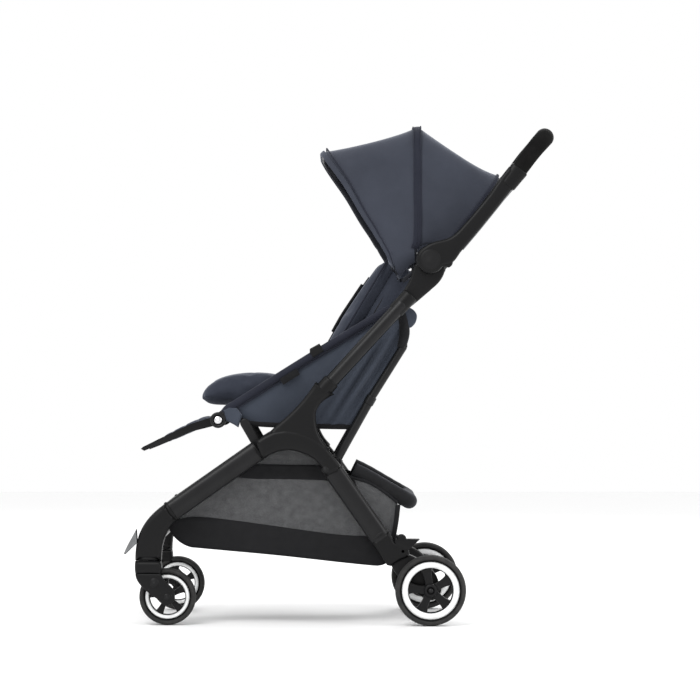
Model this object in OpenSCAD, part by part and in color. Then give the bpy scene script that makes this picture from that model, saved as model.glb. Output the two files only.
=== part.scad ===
// Compact folding baby stroller.
// The seat faces -X, +Z is up, and Y = 0 is the plane midway between the sides.
// The ground is Z = 0. The child's left side is at -Y.

/* [Frame] */
// Distance from the middle plane to each side frame
frame_y = 183; // [160:1:210]
// Thickness of the cast side frames
cast_t = 36; // [34:0.5:42]
// Width of the oval leg tubes, seen from the side
leg_w = 40; // [34:1:46]
// Thickness of the oval leg tubes
leg_t = 26; // [22:1:30]
// Radius of the telescopic main tubes
main_r = 14; // [12:0.5:15]
// Travel of the main tubes into the stems when folding
fold_travel = 90; // [60:5:95]
// Radius of the pins at the folding joints
fold_pin_r = 4; // [3:0.5:5]

/* [Wheels] */
// Radius of the front tyres
front_wheel_r = 57; // [50:1:62]
// Width of the front wheels
front_wheel_w = 28; // [22:1:32]
// Distance from the swivel axis to the front axle
trail = 38.4; // [34:0.4:42]
// Radius of the rear tyres
rear_wheel_r = 71; // [62:1:76]
// Width of the rear wheels
rear_wheel_w = 32; // [24:1:36]
// Radius of the wheel axles
axle_r = 4.5; // [3:0.5:6]

/* [Seat] */
// Half of the seat cushion's width
seat_half = 133; // [115:1:134]
// Thickness of the backrest
back_t = 40; // [28:1:48]
// Radius of the tubes along the top of the side panels
hem_r = 7; // [5:0.5:8]
// Radius of the lower strut sleeves
strut_r = 9; // [7:0.5:10]
// Thickness of the fabric walls
cloth_t = 4; // [3:0.5:6]

/* [Handlebar and canopy] */
// Radius of the round hub covers
hub_r = 28; // [24:1:31]
// Radius of the hand grip
grip_r = 18.5; // [15:0.5:20]
// Reach of the front canopy bow from the hub
front_bow_len = 308; // [280:1:330]
// Reach of the middle canopy bow from the hub
mid_bow_len = 270; // [250:1:276]
// Reach of the rear canopy bow from the hub
rear_bow_len = 223; // [200:1:230]

/* [Hidden] */
$fn = 48;
// running clearance of pins and tubes in their bores
fit = 0.05;
// clearance between pieces that move past each other
gap = 0.6;

// Points in the side view are [x, z].
// ---- side frame: stem, arch and tail ----
main_dir = [0.676, 0.737];              // the main tubes climb backwards at 47.5 degrees
main_at = [78, 590];                    // a point on the main tube's axis
stem_top = 155;                         // distance down the axis from main_at to the stem's mouth
tube_in = 52;                           // length of main tube inside the stem when open
leg_front_dir = [0.820, 0.572];         // the front legs climb backwards at 34.9 degrees
leg_front_top = [-164, 348];
leg_front_low = [-337, 227];
leg_rear_dir = [0.575, -0.818];         // the rear legs run down and back
leg_rear_out = [0.818, 0.575];          // outward normal of the rear legs
leg_rear_seam = [-12.4, 309.5];
leg_rear_len = 166;
pivot_in = 9;                           // fold pivot's depth inside the inner edge
pivot_up = 10;                          // fold pivot's height above the seam
knuckle_r = 9;                          // knuckle radius at the fold pivot
tongue_t = 12;                          // thickness of the tongue on the rear leg

// ---- wheels ----
swivel_x = -382;
swivel_r = 6;
foot_z = 129;                           // seam between foot and caster
front_axle = [swivel_x + trail, front_wheel_r];
rear_axle_at = [183, rear_wheel_r];
rear_wheel_y = frame_y + 9;             // inner face of the rear wheels
caster_arm_t = 10;
caster_arm_y = frame_y + front_wheel_w / 2 + 3;

// ---- hubs, handlebar, canopy ----
hub_at = [183, 732];
hub_mid_y = frame_y;                    // face between the bracket and the handlebar hub
hub_in_y = frame_y - 15;                // inner face of the bracket
arm_t = 22;
canopy_pin_r = 5;
bow_t = 5;
bow_w = 9;
mid_bow_y = hub_in_y - gap - bow_t;
front_bow_y = mid_bow_y - gap - bow_t;
rear_bow_y = front_bow_y - gap - bow_t;
bow_hub_r = 18;
front_bow_a = 134;
mid_bow_a = 95;
rear_bow_a = 51.7;
bow_corner = 70;
grip_at = [414, 979];

// ---- seat ----
hinge_leg = [-244, 410];                // leg rest hinge
hinge_back = [-46, 436];                // backrest hinge
hem_y = frame_y - 35;
hem_low = [-222, 433];
hem_bend = [100, 632];
elbow = [130, 612];
strut_mid = [64, 453];                  // where the strut's sleeve starts
strut_top = [131, 560];
strut_low = [-7, 326];
back_len = 318;
back_a = 59;                            // backrest angle above horizontal

function along(p, d, s) = [p[0] + d[0] * s, p[1] + d[1] * s];
function arc(c, r, a0, a1, n = 10) =
    [for (i = [0:n]) let (a = a0 + (a1 - a0) * i / n) [c[0] + r * cos(a), c[1] + r * sin(a)]];
function curve(a, b, c, d, n = 8) =
    [for (i = [0:n]) let (t = i / n, s = 1 - t)
        s * s * s * a + 3 * s * s * t * b + 3 * s * t * t * c + t * t * t * d];

// The left side is drawn; the right side is its mirror image.
module side(s) {
    if (s < 0) children(); else mirror([0, 1, 0]) children();
}

// Extrudes a side-view outline between two distances from the middle plane, on the left.
module slab(y_in, y_out) {
    translate([0, -y_in, 0]) rotate([90, 0, 0]) linear_extrude(y_out - y_in) children();
}

// Round bar along Y at a side-view point, between two distances on the left.
module pin(at, r, y_in, y_out) {
    translate([at[0], -y_in, at[1]]) rotate([90, 0, 0]) cylinder(r = r, h = y_out - y_in);
}

// Round bar between two side-view points, at a distance from the middle plane on the left.
module rod(a, b, r, y) {
    v = b - a;
    translate([a[0], -y, a[1]]) rotate([0, 90 - atan2(v[1], v[0]), 0]) cylinder(r = r, h = norm(v));
}

// Oval bar between two side-view points, w across the side view and t thick.
module oval_bar(a, b, w, t, y) {
    v = b - a;
    translate([a[0], -y, a[1]]) rotate([0, 90 - atan2(v[1], v[0]), 0])
        linear_extrude(norm(v)) union() {
            square([w - t, t], center = true);
            translate([(w - t) / 2, 0]) circle(d = t);
            translate([-(w - t) / 2, 0]) circle(d = t);
        }
}

function main_pt(s) = along(main_at, main_dir, -s);
pivot_at = leg_rear_seam - leg_rear_dir * pivot_up - leg_rear_out * (leg_w / 2 - pivot_in);
leg_a = atan2(leg_rear_dir[1], leg_rear_dir[0]);
tail_face = pivot_at + leg_rear_dir * (pivot_up - gap);

module side_frame_outline() {
    mouth_l = main_pt(stem_top) + [-main_dir[1], main_dir[0]] * (main_r + 3);
    mouth_r = main_pt(stem_top) - [-main_dir[1], main_dir[0]] * (main_r + 3);
    up = [-leg_front_dir[1], leg_front_dir[0]] * leg_w / 2;
    polygon(concat(
        curve(mouth_l, [-80, 437], [-105, 410], leg_front_top + up),
        curve(leg_front_top - up, [-124, 350], [-70, 372], pivot_at - leg_rear_out * pivot_in),
        arc(pivot_at, knuckle_r, leg_a - 90, leg_a, 6),
        [tail_face + leg_rear_out * (leg_w - pivot_in)],
        curve([-9, 336], [-36, 372], [-56, 410], mouth_r)));
}

module side_frame(s) color("#202123") side(s) difference() {
    slab(frame_y - cast_t / 2, frame_y + cast_t / 2) side_frame_outline();
    // bore that the main tube slides in
    rod(main_pt(stem_top + tube_in + fold_travel + 5), main_pt(stem_top - 5), main_r + fit, frame_y);
    // slot and pin hole for the rear leg's tongue
    pin(pivot_at, knuckle_r + 6, frame_y - tongue_t / 2 - gap / 2, frame_y + tongue_t / 2 + gap / 2);
    pin(pivot_at, fold_pin_r, frame_y - cast_t, frame_y + cast_t);
}
module side_frame_left() side_frame(-1);
module side_frame_right() side_frame(1);

module fold_pins() color("silver") for (s = [-1, 1]) side(s)
    pin(pivot_at, fold_pin_r, frame_y - cast_t / 2, frame_y + cast_t / 2);

module front_leg(s) color("#1c1d1f") side(s)
    oval_bar(leg_front_low, leg_front_top, leg_w, leg_t, frame_y);
module front_leg_left() front_leg(-1);
module front_leg_right() front_leg(1);

foot_half = 26;                         // half of the foot casting's depth at the caster
foot_up = [-leg_front_dir[1], leg_front_dir[0]] * leg_w / 2;
foot_t = leg_t + 6;
foot_nose = curve(leg_front_low + foot_up, [-390, 214], [swivel_x - foot_half, 185],
    [swivel_x - foot_half, foot_z]);
module front_foot(s) color("#202123") side(s) difference() {
    slab(frame_y - foot_t / 2, frame_y + foot_t / 2)
        polygon(concat(foot_nose,
            curve([swivel_x + foot_half, foot_z], [swivel_x + foot_half, 175],
                [-350, 192], leg_front_low - foot_up)));
    translate([swivel_x, -frame_y, foot_z - 1]) cylinder(r = swivel_r + fit, h = 27);
}
module front_foot_left() front_foot(-1);
module front_foot_right() front_foot(1);

// Small kick plates on the noses of the feet.
module foot_bumpers() color("#8d9093") for (s = [-1, 1]) side(s)
    slab(frame_y - 12, frame_y + 12)
        polygon(concat([for (i = [5:8]) foot_nose[i] - [0.1, 0]],
            [[swivel_x - foot_half - 16, 138], [swivel_x - foot_half - 23, 143],
             [swivel_x - foot_half - 16, 160]]));

module front_crossbar() color("#1c1d1f")
    pin([-366, 172], 9, -(frame_y - foot_t / 2), frame_y - foot_t / 2);

// ---- rear legs ----
leg_rear_top = leg_rear_seam;
leg_rear_end = along(leg_rear_seam, leg_rear_dir, leg_rear_len);
module rear_leg(s) color("#1c1d1f") side(s) {
    oval_bar(leg_rear_top, leg_rear_end, leg_w, leg_t, frame_y);
    difference() {
        slab(frame_y - tongue_t / 2, frame_y + tongue_t / 2) union() {
            translate(pivot_at) circle(knuckle_r);
            polygon([pivot_at - leg_rear_out * knuckle_r, pivot_at + leg_rear_out * knuckle_r,
                leg_rear_top - leg_rear_out * (leg_w / 2 - pivot_in - knuckle_r) + leg_rear_dir * 2,
                leg_rear_top - leg_rear_out * (leg_w / 2 - pivot_in + knuckle_r - 2)
                    + leg_rear_dir * 2]);
        }
        pin(pivot_at, fold_pin_r + fit, frame_y - cast_t, frame_y + cast_t);
    }
}
module rear_leg_left() rear_leg(-1);
module rear_leg_right() rear_leg(1);

housing_in = frame_y - 24;              // inner face of the wheel housings
pedal_pivot = [128, 148];
pedal_pin_r = 3;
pedal_y = [housing_in + 3.4, frame_y + leg_t / 2 - 2.4];
module rear_housings() color("#202123") for (s = [-1, 1]) side(s) difference() {
    half = leg_rear_out * leg_w / 2;
    union() {
        // block under the leg's end, with ears for the pedal
        slab(housing_in, frame_y + leg_t / 2)
            polygon([leg_rear_end + half, leg_rear_end - half, leg_rear_end - half + [12, -14],
                [104, 119], [112, 124], [140, 140], [138, 152], [124, 158], [110, 161]]);
        // plate reaching to the axle, inside the wheel
        slab(housing_in, rear_wheel_y - 3)
            polygon(concat([[104, 119], [140, 72]], arc(rear_axle_at, 22, 225, 400, 10),
                [[160, 132], [139, 141], [112, 140]]));
    }
    pin(rear_axle_at, axle_r, 0, frame_y + cast_t);
    pin(pedal_pivot, pedal_pin_r, 0, frame_y + cast_t);
    // room for the pedal and for the wheel
    slab(pedal_y[0] - gap, pedal_y[1] + gap) union() {
        translate(pedal_pivot) circle(9.2);
        translate(pedal_pivot) polygon([[-10, 2], [9, 2], [30, 20], [-12, 20]]);
    }
    pin(rear_axle_at, rear_wheel_r + 4, rear_wheel_y - 3, rear_wheel_y + rear_wheel_w);
}

module rear_axle() color("#17181a") {
    pin(rear_axle_at, 11, -housing_in, housing_in);
    y_end = rear_wheel_y + rear_wheel_w + 1;
    pin(rear_axle_at, axle_r, -y_end, -housing_in);
    pin(rear_axle_at, axle_r, housing_in, y_end);
}

module brake_pin() color("#8d9093") side(-1)
    pin(pedal_pivot, pedal_pin_r, housing_in, frame_y + leg_t / 2);

module brake_pedal() color("#26272a") side(-1) difference() {
    slab(pedal_y[0], pedal_y[1]) union() {
        translate(pedal_pivot) circle(8);
        translate(pedal_pivot + [-2, 24]) circle(9.5);
        translate(pedal_pivot) polygon([[-6, 0], [6, 0], [5, 22], [-8, 22]]);
    }
    pin(pedal_pivot, pedal_pin_r + fit, 0, frame_y + cast_t);
}

// ---- casters ----
module caster(s) color("#1a1b1d") side(s) {
    difference() {
        // head over the wheel
        slab(frame_y - foot_t / 2, caster_arm_y + caster_arm_t)
            polygon([[swivel_x - 25, foot_z - gap], [swivel_x + 25, foot_z - gap],
                [swivel_x + 27, 104], [swivel_x - 24, 102]]);
        pin(front_axle, front_wheel_r + 4, 0, caster_arm_y);
    }
    // outer arm down to the axle
    slab(caster_arm_y, caster_arm_y + caster_arm_t)
        polygon(concat([[swivel_x - 24, 104], [swivel_x - 23, 88]],
            arc(front_axle, 15, 200, 380, 10), [[swivel_x + 27, 104]]));
    pin(front_axle, axle_r, frame_y - front_wheel_w / 2 - 1, caster_arm_y);
    translate([swivel_x, -frame_y, foot_z - gap]) cylinder(r = swivel_r, h = 24);
}
module caster_left() caster(-1);
module caster_right() caster(1);

// ---- wheels ----
module tyre(at, r, w, y_mid) translate([at[0], -y_mid, at[1]]) rotate([90, 0, 0])
    rotate_extrude() union() {
        translate([r * 0.82, -w / 2]) square([r * 0.18 - 5, w]);
        translate([r - 5.5, -w / 2 + 5]) square([5.5, w - 10]);
        for (e = [-1, 1]) translate([r - 5, e * (w / 2 - 5)]) circle(5);
    }

module rim(at, r, w, y_mid) translate([at[0], -y_mid, at[1]]) rotate([90, 0, 0])
    difference() {
        union() {
            difference() {
                cylinder(r = r * 0.82, h = w - 2, center = true);
                cylinder(r = r * 0.66, h = w, center = true);
            }
            cylinder(r = r * 0.2, h = w - 4, center = true);
            for (i = [0:4]) rotate(i * 72 + 30) translate([0, -r * 0.07, -w / 4])
                cube([r * 0.7, r * 0.14, w / 2]);
        }
        cylinder(r = axle_r + fit, h = w + 2, center = true);
    }

rear_wheel_mid = rear_wheel_y + rear_wheel_w / 2;
module front_rim_left() color("#e9eaea") side(-1) rim(front_axle, front_wheel_r, front_wheel_w, frame_y);
module front_rim_right() color("#e9eaea") side(1) rim(front_axle, front_wheel_r, front_wheel_w, frame_y);
module front_tyre_left() color("#151515") side(-1) tyre(front_axle, front_wheel_r, front_wheel_w, frame_y);
module front_tyre_right() color("#151515") side(1) tyre(front_axle, front_wheel_r, front_wheel_w, frame_y);
module rear_rim_left() color("#e9eaea") side(-1)
    rim(rear_axle_at, rear_wheel_r, rear_wheel_w, rear_wheel_mid);
module rear_rim_right() color("#e9eaea") side(1)
    rim(rear_axle_at, rear_wheel_r, rear_wheel_w, rear_wheel_mid);
module rear_tyre_left() color("#151515") side(-1)
    tyre(rear_axle_at, rear_wheel_r, rear_wheel_w, rear_wheel_mid);
module rear_tyre_right() color("#151515") side(1)
    tyre(rear_axle_at, rear_wheel_r, rear_wheel_w, rear_wheel_mid);

// ---- upper frame ----
tube_top = -78;                         // distance down the axis where the bracket takes over
module main_tube(s) color("#1c1d1f") side(s)
    rod(main_pt(stem_top + tube_in), main_pt(tube_top), main_r, frame_y);
module main_tube_left() main_tube(-1);
module main_tube_right() main_tube(1);

module hub_bracket(s) color("#202123") side(s) {
    n = [-main_dir[1], main_dir[0]];
    slab(hub_in_y, hub_mid_y - gap / 2) union() {
        translate(hub_at) circle(hub_r);
        polygon(concat([main_pt(tube_top) + n * (main_r + 2)],
            [hub_at + [-hub_r, -8], hub_at + [0, 0], hub_at + [hub_r - 1, -8], [207, 698],
             [196, 680]], [main_pt(tube_top) - n * (main_r + 6)]));
    }
    // closed socket that the tube's end butts against
    rod(main_pt(tube_top), main_pt(tube_top - 8), main_r + 0.6, frame_y);
    // hub pin: canopy bows on its inner end, handlebar on its outer end
    pin(hub_at, canopy_pin_r, rear_bow_y + bow_t, hub_mid_y + arm_t);
}
module hub_bracket_left() hub_bracket(-1);
module hub_bracket_right() hub_bracket(1);

// ---- handlebar ----
module handle_arm(s) color("#1c1d1f") side(s) difference() {
    slab(hub_mid_y + gap / 2, hub_mid_y + arm_t)
        polygon(concat(arc(hub_at, hub_r, 60, 305, 20), [[222, 714], [240, 744], [282, 793],
            [344, 862], [371, 895], [346, 914], [302, 863], [226, 775]]));
    pin(hub_at, canopy_pin_r + fit, 0, frame_y + cast_t);
}
module handle_arm_left() handle_arm(-1);
module handle_arm_right() handle_arm(1);

module handle_grip() color("#141414") difference() {
    union() {
        pin(grip_at, grip_r, -(hub_mid_y + arm_t), hub_mid_y + arm_t);
        for (s = [-1, 1]) side(s)
            slab(hub_mid_y - 6, hub_mid_y + arm_t)
                polygon([[346, 914], [371, 895], grip_at + [15, -11], grip_at + [-14, 12]]);
    }
    // well for the fold button
    translate(concat([grip_at[0]], [0], [grip_at[1]])) rotate([0, -52, 0])
        translate([-grip_r - 1, -17, -7]) cube([9, 34, 14]);
}

module fold_button() color("#2b2c2e") translate([grip_at[0], 0, grip_at[1]]) rotate([0, -52, 0])
    translate([-grip_r - 0.5, -16.4, -6.4]) cube([5, 32.8, 12.8]);

// ---- canopy ----
// U-shaped bow in the plane through the hub axis at an angle; the legs' inner faces are at y_in.
module bow(reach, a, y_in) {
    translate([hub_at[0], 0, hub_at[1]]) rotate([0, -a, 0]) translate([0, 0, -bow_w / 2])
        linear_extrude(bow_w) for (s = [0, 1]) mirror([0, s]) polygon(concat(
            [[bow_hub_r - 5, y_in], [bow_hub_r - 5, y_in + bow_t]],
            arc([reach - bow_corner, y_in + bow_t - bow_corner], bow_corner, 90, 0, 8),
            [[reach, -1], [reach - bow_t, -1]],
            arc([reach - bow_corner, y_in + bow_t - bow_corner], bow_corner - bow_t, 0, 90, 8)));
}

module bow_with_eyes(reach, a, y_in, eye_r) difference() {
    union() {
        bow(reach, a, y_in);
        translate([hub_at[0], 0, hub_at[1]]) rotate([0, 90 - a, 0])
            for (s = [-1, 1]) side(s) pin([0, 0], bow_hub_r, y_in, y_in + bow_t);
    }
    pin(hub_at, eye_r, -frame_y, frame_y);
}
module canopy_front_bow() color("#17181a")
    bow_with_eyes(front_bow_len, front_bow_a, front_bow_y, canopy_pin_r + fit);
module canopy_mid_bow() color("#17181a")
    bow_with_eyes(mid_bow_len, mid_bow_a, mid_bow_y, canopy_pin_r + fit);
module canopy_rear_bow() color("#17181a")
    bow_with_eyes(rear_bow_len, rear_bow_a, rear_bow_y, canopy_pin_r - 1);

// Cross-section of the canopy in the plane of a bow, starting at a distance from the hub.
panel_y = rear_bow_y - gap;
panel_corner = 56;
panel_drop = 2.5;                       // depth of the fabric's edge below the bows' tops
module canopy_section(reach, a, inset, start) {
    half = concat([[start, panel_y - inset]],
        arc([reach - panel_drop - panel_corner, panel_y - panel_corner], panel_corner - inset,
            90, 0, 5));
    translate([hub_at[0], 0, hub_at[1]]) rotate([0, -a, 0]) linear_extrude(0.4)
        polygon(concat(half, [for (i = [len(half) - 1:-1:0]) [half[i][0], -half[i][1]]]));
}

// Fabric between two bows: side walls and a top, open in front, behind and below.
module panel(reach_a, a, reach_b, b) difference() {
    hull() {
        canopy_section(reach_a, a, 0, 45);
        canopy_section(reach_b, b, 0, 45);
    }
    hull() {
        canopy_section(reach_a, a + 0.5, cloth_t, 20);
        canopy_section(reach_b, b - 0.5, cloth_t, 20);
    }
}
module canopy_front_panel() color("#414856")
    panel(front_bow_len, front_bow_a - 1, mid_bow_len, mid_bow_a + 1.15);
module canopy_rear_panel() color("#414856")
    panel(mid_bow_len, mid_bow_a - 1.15, rear_bow_len, rear_bow_a + 1.7);

// ---- seat frame ----
ring_r = 16;
button_r = 9.3;
hinge_pin_r = 5;
hem_in = hem_y - hem_r;
module seat_side_tube(s) color("#26282c") side(s) difference() {
    union() {
        rod(hinge_leg, hem_low, hem_r, hem_y);
        rod(hem_low, hem_bend, hem_r, hem_y);
        rod(hem_bend, elbow, hem_r, hem_y);
        rod(elbow, strut_top, hem_r, hem_y);
        for (p = [hem_low, hem_bend, elbow])
            translate([p[0], -hem_y, p[1]]) sphere(hem_r + 0.5);
        pin(hinge_leg, ring_r, hem_in - gap, hem_y + hem_r + gap);
    }
    pin(hinge_leg, hinge_pin_r + fit, hem_in - 1, hem_y);
    pin(hinge_leg, button_r + fit, hem_y, hem_y + hem_r + 1);
}
module seat_side_tube_left() seat_side_tube(-1);
module seat_side_tube_right() seat_side_tube(1);

module leg_rest_button(s) color("#d9dadb") side(s)
    pin(hinge_leg, button_r, hem_y + 3, hem_y + hem_r + 2);
module leg_rest_button_left() leg_rest_button(-1);
module leg_rest_button_right() leg_rest_button(1);

module rear_strut(s) color("#1c1d1f") side(s) difference() {
    union() {
        rod(strut_mid, strut_top, strut_r - 0.8, hem_y);
        rod(strut_low, strut_mid, strut_r, hem_y);
        pin(strut_low, strut_r + 3, hem_y - strut_r, hem_y + strut_r);
    }
    pin(strut_low, crossbar_r, 0, frame_y);
    rod(elbow, strut_top, hem_r, hem_y);
}
crossbar_r = 8;
module rear_strut_left() rear_strut(-1);
module rear_strut_right() rear_strut(1);
module strut_crossbar() color("#1c1d1f")
    pin(strut_low, crossbar_r, -(frame_y - cast_t / 2), frame_y - cast_t / 2);

board_y = seat_half;             // half of the seat board's width
link_top = [-190, 404];
link_low = [-160, 352];
module seat_links() color("#1c1d1f") for (s = [-1, 1]) side(s) {
    slab(hem_y + 3, hem_y + 11) union() {
        translate(link_top) circle(9);
        translate(link_low) circle(9);
        polygon([link_top + [-7.8, -4.5], link_low + [-7.8, -4.5], link_low + [7.8, 4.5],
            link_top + [7.8, 4.5]]);
    }
    pin(link_top, 5, board_y, hem_y + 3);
    pin(link_low, 6, hem_y + 11, frame_y - cast_t / 2);
}

lug_y = seat_half - 24;
module seat_board() color("#2a2c30") {
    difference() {
        slab(-board_y, board_y) union() {
            polygon([[-222, 430], [-180, 399], [36, 391], [36, 397], [-176, 405], [-219, 436]]);
            translate(link_top) circle(8);
        }
        // the underside is dished between the links
        slab(-board_y + 12, board_y - 12) polygon([[-205, 390], [-176, 398.8], [-150, 397.4],
            [-150, 390]]);
    }
    for (s = [-1, 1]) side(s) {
        slab(lug_y - 8, lug_y) union() {
            translate(hinge_back) circle(8);
            polygon([[-58, 398], [-34, 397], hinge_back + [8, 0], hinge_back - [8, 0]]);
        }
        pin(hinge_back, hinge_pin_r, lug_y, lug_y + 16);
    }
}

module seat_cushion() color("#3f4654") slab(-seat_half, seat_half)
    polygon([[-285, 447], [-282, 462], [-272, 477], [-258, 488], [-230, 499], [-198, 506],
        [-150, 508], [-114, 503], [-88, 486], [-70, 446], [-64, 401.6], [-175.6, 405.5],
        [-216, 435.8], [-222, 441], [-272, 441]]);

module side_panel(s) color("#4a5160") side(s)
    slab(seat_half + gap, seat_half + gap + cloth_t)
        polygon([[-216, 434], [100, 630], [118, 612], [122, 560], [58, 460], [24, 405],
            [-176, 411], [-208, 434]]);
module side_panel_left() side_panel(-1);
module side_panel_right() side_panel(1);

// ---- backrest ----
back_dir = [cos(back_a), sin(back_a)];
back_out = [-sin(back_a), cos(back_a)];
back_low = [-66, 478];                  // lower front edge of the backrest pad
function back_pt(u, v) = back_low + back_dir * u + back_out * v;
module backrest_pad() color("#3f4654") slab(-seat_half + 1, seat_half - 1)
    polygon(concat([back_pt(6, 0), back_pt(back_len - 12, 0)],
        curve(back_pt(back_len - 8, 0), back_pt(back_len + 6, -4), back_pt(back_len + 6, -back_t),
            back_pt(back_len - 8, -back_t), 6),
        [back_pt(6, -back_t), back_pt(0, -back_t + 6), back_pt(0, -6)]));

module back_board() color("#2a2c30") {
    slab(-seat_half + 12, seat_half - 12) polygon([back_pt(4, -back_t), back_pt(back_len - 20, -back_t),
        back_pt(back_len - 20, -back_t - 5), back_pt(4, -back_t - 5)]);
    for (s = [-1, 1]) side(s) difference() {
        slab(lug_y + gap, lug_y + 11) union() {
            translate(hinge_back) circle(9);
            polygon([hinge_back + [-7, 6], back_pt(4, -back_t), back_pt(24, -back_t),
                back_pt(24, -back_t - 5), hinge_back + [8, -4]]);
        }
        pin(hinge_back, hinge_pin_r + fit, 0, frame_y);
    }
}

strap_t = 3;
module shoulder_straps() color("#17181a") for (s = [-1, 1]) side(s)
    slab(32, 62) polygon([back_pt(50, 0.3), back_pt(250, 0.3), back_pt(250, 0.3 + strap_t),
        back_pt(150, 0.3 + strap_t * 2), back_pt(50, 0.3 + strap_t)]);

// ---- harness on the seat ----
buckle_at = [-84, 508];
module crotch_strap() color("#17181a")
    slab(-14, 14) polygon([[-86.7, 483.9], [-82.7, 475.1], [-81, 490], [-85, 490]]);
module buckle() color("#202123") difference() {
    translate([buckle_at[0] - 8, -20, buckle_at[1] - 18]) cube([16, 40, 36]);
    translate([buckle_at[0] - 9, 0, buckle_at[1]]) rotate([0, 90, 0]) cylinder(r = 8 + fit, h = 9);
}
module buckle_button() color("#4c4e52")
    translate([buckle_at[0] - 10, 0, buckle_at[1]]) rotate([0, 90, 0]) cylinder(r = 8, h = 7);

// ---- leg rest ----
module leg_rest_frame() color("#1c1d1f") {
    slab(-120, 120) polygon([[-366, 371], [-398, 355], [-402, 351], [-395, 347], [-366, 361]]);
    for (s = [-1, 1]) side(s) {
        slab(119, 127) polygon(concat(arc(hinge_leg, 10, 90, -90, 8),
            [[-300, 386], [-366, 357], [-384, 350], [-384, 361], [-366, 371], [-300, 402]]));
        pin(hinge_leg, hinge_pin_r, 127, hem_y - 1);
    }
}
module leg_rest_pad() color("#3f4654")
    slab(-118.4, 118.4) polygon([[-262, 422], [-298, 406], [-338, 386], [-364, 375], [-365, 358],
        [-338, 369], [-298, 386], [-264, 401], [-256, 412]]);

// ---- basket ----
bar_a = [38, 305];
bar_b = [142, 246];
bar_y = frame_y - 42;
bar_r = 16;
basket_y = frame_y - leg_t / 2 - 13;
module basket_rim() {
    for (s = [-1, 1]) side(s) {
        rod(bar_a, bar_b, bar_r, bar_y);
        for (p = [bar_a, bar_b]) translate([p[0], -bar_y, p[1]]) sphere(bar_r + 0.7);
    }
    pin(bar_b, bar_r, -bar_y, bar_y);
}
module basket_rear_bar() color("#1b1c1e") basket_rim();

module basket() color("#26282b") {
    difference() {
        slab(-basket_y, basket_y) polygon([[-345, 180], [-308, 155], [95, 116], [124, 238],
            [32, 292], [-18, 300], [-170, 338], [-335, 226]]);
        slab(-basket_y + cloth_t, basket_y - cloth_t) polygon([[-345 + cloth_t, 182],
            [-307, 155 + cloth_t], [95 - cloth_t, 116 + cloth_t], [124 - cloth_t, 239],
            [124 - cloth_t, 420], [-335 + cloth_t, 420], [-335 + cloth_t, 226]]);
        basket_rim();
    }
    // loops that hang the basket from the front legs
    for (s = [-1, 1], x = [-200, -320]) side(s)
        pin([x, leg_front_top[1] + (x - leg_front_top[0]) * leg_front_dir[1] / leg_front_dir[0]],
            6, basket_y - 1, frame_y - leg_t / 2);
}

side_frame_left();
side_frame_right();
front_leg_left();
front_leg_right();
front_foot_left();
front_foot_right();
front_crossbar();
foot_bumpers();
seat_side_tube_left();
seat_side_tube_right();
rear_strut_left();
rear_strut_right();
strut_crossbar();
seat_links();
seat_board();
seat_cushion();
side_panel_left();
side_panel_right();
basket();
basket_rear_bar();
fold_pins();
crotch_strap();
buckle();
buckle_button();
back_board();
backrest_pad();
shoulder_straps();
leg_rest_frame();
leg_rest_pad();
leg_rest_button_left();
leg_rest_button_right();
rear_leg_left();
rear_leg_right();
rear_housings();
rear_axle();
brake_pin();
brake_pedal();
caster_left();
caster_right();
front_rim_left();
front_tyre_left();
front_rim_right();
front_tyre_right();
rear_rim_left();
rear_tyre_left();
rear_rim_right();
rear_tyre_right();
main_tube_left();
main_tube_right();
hub_bracket_left();
hub_bracket_right();
canopy_rear_bow();
canopy_rear_panel();
canopy_mid_bow();
canopy_front_bow();
canopy_front_panel();
handle_arm_left();
handle_arm_right();
handle_grip();
fold_button();
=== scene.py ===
# %% [markdown]
# # A compact baby stroller
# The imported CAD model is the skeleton: every size, joint and place comes from it. This lesson dresses
# it, one piece at a time. Shapes are grids and profiles worked out with numpy, padded fabric is
# inflated by a short cloth simulation, and every finish is a small graph of shader nodes.

# %% Load the frame
import math

import bpy
import numpy as np
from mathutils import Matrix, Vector


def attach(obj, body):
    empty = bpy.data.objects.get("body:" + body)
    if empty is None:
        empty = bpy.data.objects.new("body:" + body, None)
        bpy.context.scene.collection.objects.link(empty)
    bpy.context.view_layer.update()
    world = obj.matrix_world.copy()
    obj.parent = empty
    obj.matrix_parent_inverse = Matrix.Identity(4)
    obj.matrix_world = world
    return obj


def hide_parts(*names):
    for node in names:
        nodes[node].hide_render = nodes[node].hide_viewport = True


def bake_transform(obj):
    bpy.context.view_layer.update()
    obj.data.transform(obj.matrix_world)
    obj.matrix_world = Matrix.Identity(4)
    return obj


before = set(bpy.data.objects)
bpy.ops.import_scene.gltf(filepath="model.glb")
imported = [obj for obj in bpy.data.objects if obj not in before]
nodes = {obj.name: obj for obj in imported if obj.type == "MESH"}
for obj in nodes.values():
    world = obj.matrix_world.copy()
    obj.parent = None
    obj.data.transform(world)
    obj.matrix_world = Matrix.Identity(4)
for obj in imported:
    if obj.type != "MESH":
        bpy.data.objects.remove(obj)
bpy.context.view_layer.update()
MM = 0.001
# axes that run across the stroller, as (x, z) in mm
FRONT_AXLE = (-343.6, 57)
REAR_AXLE = (183, 71)
HUB_AXIS = (183, 732)
FOLD_PIN = (-27.15, 311.36)

# %% [markdown]
# Two kinds of surface make nearly everything here. A sweep carries a closed profile along a path, as
# a tube bender or a piping foot does. A rounded plate takes a side-view outline and gives it
# thickness with a soft edge, as a casting or a moulding has. Both are whole-array formulas.


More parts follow.
